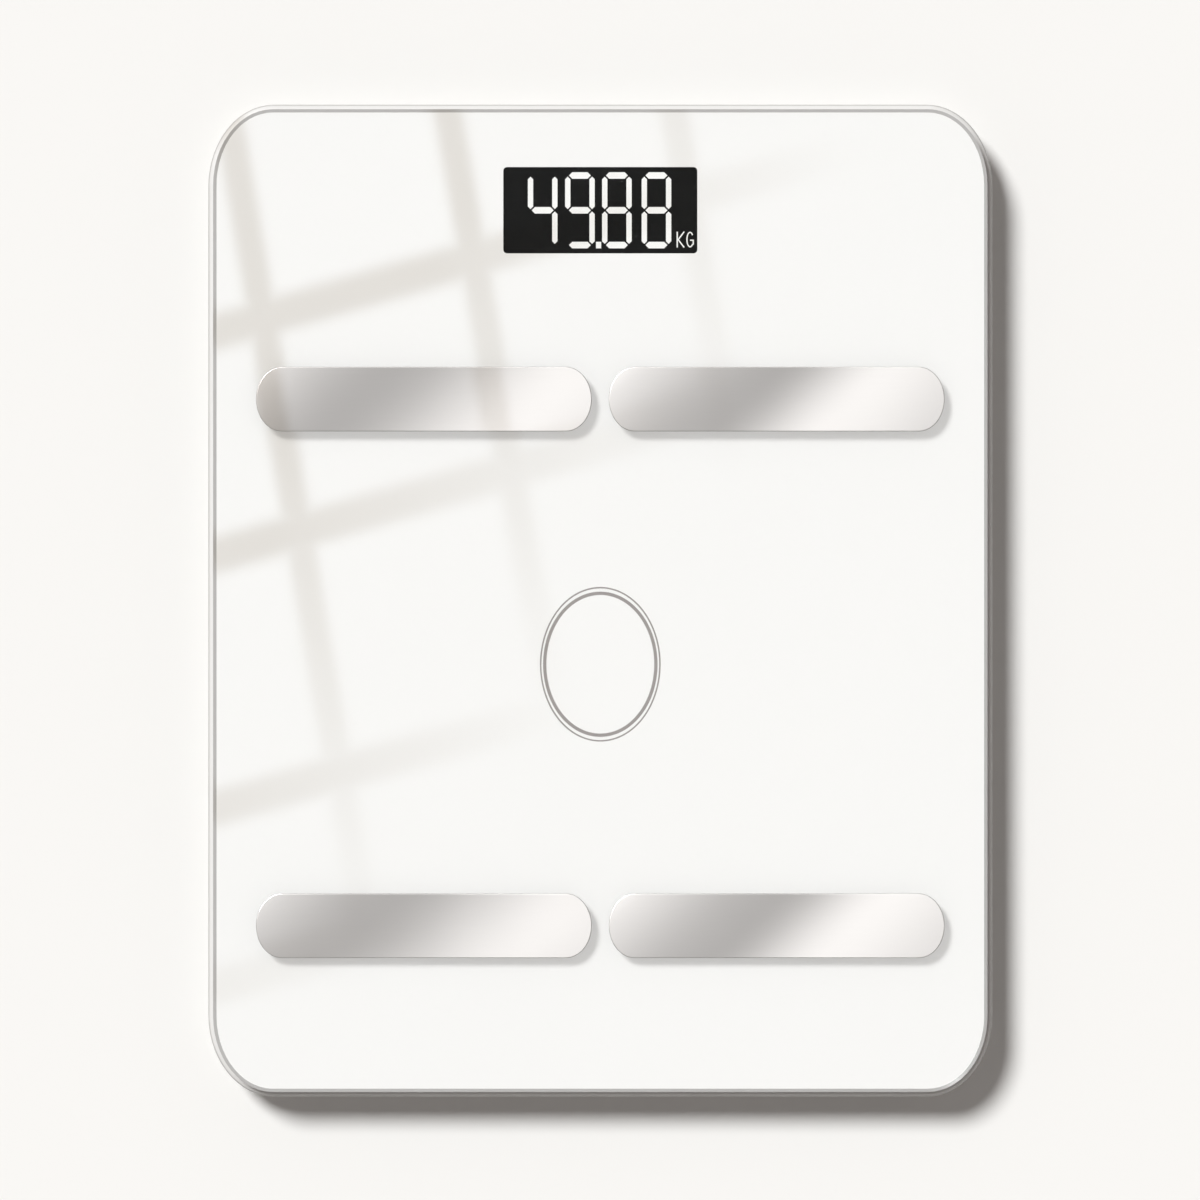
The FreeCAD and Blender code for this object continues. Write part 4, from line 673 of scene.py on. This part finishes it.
def curved_stroke(centre, radius_x, radius_y, steps=20):
    """Outline of an elliptical pen stroke from ARC_START to ARC_END."""
    outer, inner = [], []
    for step in range(steps + 1):
        angle = math.radians(ARC_START + (ARC_END - ARC_START) * step / steps)
        across, up = math.cos(angle), math.sin(angle)
        outer.append((centre[0] + radius_x * across, centre[1] + radius_y * up))
        inner.append((centre[0] + (radius_x - UNIT_STROKE) * across,
                      centre[1] + (radius_y - UNIT_STROKE) * up))
    return outer + inner[::-1]


def build_unit(looks):
    """The letters K and G as plain pen strokes."""
    centre_x, centre_y, _ = middle("lcd_gasket")
    left, bottom = centre_x + UNIT_LEFT, centre_y + UNIT_BOTTOM
    top, waist = bottom + UNIT_HEIGHT, bottom + UNIT_HEIGHT / 2
    half = UNIT_STROKE / 2
    fork = left + FORK
    round_x = left + LETTER_PITCH + LETTER_WIDTH / 2
    right = round_x + LETTER_WIDTH / 2
    outlines = [
        stroke((left + half, bottom), (left + half, top)),
        stroke((fork, waist), (left + LETTER_WIDTH, top)),
        stroke((fork, waist), (left + LETTER_WIDTH, bottom)),
        curved_stroke((round_x, waist), LETTER_WIDTH / 2, UNIT_HEIGHT / 2),
        stroke((right - half, waist - half), (right - half, bottom + SPUR_BOTTOM)),
        stroke((round_x, waist - half), (right, waist - half)),
    ]
    unit = flat_solid("display_unit", outlines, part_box("lcd_panel")[1][2], PRINT_HEIGHT)
    unit.data.materials.append(looks["lit_segment"])
    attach(unit, "scale")


# ----------------------------------------------------------------- floor and lights

def floor_look(name, colour, light_passes):
    """Floor that is clear from below, and under the object lets light through to it."""
    look = Look(name, colour, roughness=0.9, specular=0.1)
    look.vary_colour(look.noise(0.5, 3.0), 0.002)
    clear_side = look.node("ShaderNodeNewGeometry").outputs["Backfacing"]
    if light_passes:
        path = look.node("ShaderNodeLightPath").outputs
        light = look.math("MAXIMUM", path["Is Diffuse Ray"], path["Is Shadow Ray"])
        clear_side = look.math("MAXIMUM", clear_side, light)
    look.show(look.mix(clear_side, look.shader, look.clear()))
    return look.material


def build_floor():
    """Square floor with a face of its own under the object, coloured dark there as painted shade.
    """
    (left, front, _), (right, back, _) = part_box("base_shell")
    inner = (left + OBJECT_MARGIN, front + OBJECT_MARGIN,
             right - OBJECT_MARGIN, back - OBJECT_MARGIN)
    half = FLOOR_SIZE / 2
    shape = bmesh.new()
    rings = []
    for left, front, right, back in (inner, (-half, -half, half, half)):
        corners = ((left, front), (right, front), (right, back), (left, back))
        rings.append([shape.verts.new((x, y, 0.0)) for x, y in corners])
    under, outer = rings
    shape.faces.new(under)
    for index in range(4):
        face = shape.faces.new((outer[index - 1], outer[index], under[index], under[index - 1]))
        face.material_index = 1
    floor = mesh_object("studio_floor", shape)
    # painted shade: the face under the object is coloured dark
    floor.data.materials.append(floor_look("studio_floor_painted_shade", FLOOR_PAINTED_SHADE, True))
    floor.data.materials.append(floor_look("studio_floor", FLOOR_COLOUR, False))


def bar_shade(x, y):
    """Darkness of the window bars' shade at a point in millimetres, 0 to 1."""
    darkest = 0.0
    for left, top, right, end, strength, kept in WINDOW_BARS:
        along = Vector((right - left, end - top))
        offset = Vector((x, y)) - Vector((left, top))
        share = offset.dot(along) / along.length_squared
        if not -BAR_LEAD <= share <= 1.0:
            continue
        aside = abs(offset.cross(along)) / along.length
        if abs(along.x) > abs(along.y):
            aside /= LEVEL_WIDENING
        edge = min(max((BAR_EDGE - aside) / (BAR_EDGE - BAR_CORE), 0.0), 1.0)
        fade = min((1.0 - share) / (1.0 - kept), 1.0)
        darkest = max(darkest, edge * fade * strength)
    return darkest


def build_window_shade():
    """Sheet over the platform that only shades: the soft bars of a window in the key light."""
    low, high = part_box("glass_platform")
    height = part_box("electrode_toe_left")[1][2] + SHADE_HEIGHT
    shift = SUN_FROM.xy * (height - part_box("backing_film")[1][2])
    columns = round((high[0] - low[0]) / SHADE_STEP)
    rows = round((high[1] - low[1]) / SHADE_STEP)
    shape = bmesh.new()
    shade = shape.verts.layers.float.new("shade")
    grid = []
    for row in range(rows + 1):
        y = low[1] + row * (high[1] - low[1]) / rows
        line = []
        for column in range(columns + 1):
            x = low[0] + column * (high[0] - low[0]) / columns
            vertex = shape.verts.new((x + shift.x, y + shift.y, height))
            vertex[shade] = bar_shade(x / MM, y / MM)
            line.append(vertex)
        grid.append(line)
    for near, far in zip(grid, grid[1:]):
        for column in range(columns):
            corners = (near[column], near[column + 1], far[column + 1], far[column])
            if any(corner[shade] > 0.0 for corner in corners):
                shape.faces.new(corners)
    sheet = mesh_object("window_shade", shape)
    sheet.visible_camera = sheet.visible_diffuse = False
    sheet.visible_glossy = sheet.visible_transmission = False

    look = Look("window_shade", (1.0, 1.0, 1.0))
    darkness = look.node("ShaderNodeAttribute", attribute_name="shade").outputs["Fac"]
    clear = look.clear()
    look.link(look.blend(darkness, (1.0, 1.0, 1.0), BAR_SHADE), clear.inputs["Color"])
    look.show(clear)
    sheet.data.materials.append(look.material)


def build_lights():
    """Key light from the back left, in two shares. The strips cast a shadow only in the first."""
    strips = bpy.data.collections.new("strips")
    for item in frame["record"]["subparts"]:
        if item["material_slot"] == "stainless_electrode":
            strips.objects.link(frame["nodes"][item["node"]])
    for entry in strips.collection_objects:
        entry.light_linking.link_state = "EXCLUDE"
    for name, share in (("key_light", 1.0 - UNDER_STRIPS), ("key_light_clear", UNDER_STRIPS)):
        sun = bpy.data.lights.new(name, "SUN")
        sun.energy = SUN_STRENGTH * share
        sun.angle = SUN_ANGLE
        sun.color = SUN_COLOUR
        lamp = add_object(name, sun)
        lamp.rotation_mode = "QUATERNION"
        lamp.rotation_quaternion = SUN_FROM.to_track_quat("Z", "Y")
    lamp.light_linking.blocker_collection = strips


def build_world():
    """Even pale fill. Mirror reflections see it dark overhead, and the camera sees it pale."""
    world = bpy.data.worlds.new("studio")
    bpy.context.scene.world = world
    world.use_nodes = True
    world.node_tree.nodes.clear()
    sky = Graph(world.node_tree)
    up = sky.split(sky.node("ShaderNodeTexCoord").outputs["Generated"])["Z"]
    path = sky.node("ShaderNodeLightPath").outputs
    fill = sky.background(FILL_COLOUR)
    strength = sky.ramp(up, GROUND_FILL, SKY_FILL, -HORIZON, HORIZON)
    sky.link(strength, fill.inputs["Strength"])
    mirrored = sky.node("ShaderNodeBackground")
    sky.link(sky.curve(up, MIRRORED, tint=FILL_COLOUR), mirrored.inputs["Color"])
    unseen = sky.mix(path["Is Glossy Ray"], fill, mirrored)
    seen = sky.mix(path["Is Camera Ray"], unseen, sky.background(BACKDROP))
    output = sky.node("ShaderNodeOutputWorld")
    sky.link(seen.outputs[0], output.inputs["Surface"])


def build_camera():
    """Long lens straight above the origin, as in the photograph."""
    camera = bpy.data.cameras.new("camera")
    camera.lens = LENS
    camera.sensor_width = SENSOR
    glass_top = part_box("glass_platform")[1][2]
    item = add_object("camera", camera)
    item.location = (*CAMERA_OFFSET, glass_top + VIEW_WIDTH * LENS / SENSOR)
    bpy.context.scene.camera = item


# ------------------------------------------------------------------------- assembly

bpy.context.scene.view_settings.view_transform = "Standard"
build_camera()
looks = make_looks()
dress_nodes(looks)
lay_print("print_film", "backing_film", "white_print", looks)
lay_print("print_ring", "printed_ring", "grey_print", looks)
build_reading(looks)
build_unit(looks)
build_floor()
build_window_shade()
build_lights()
build_world()
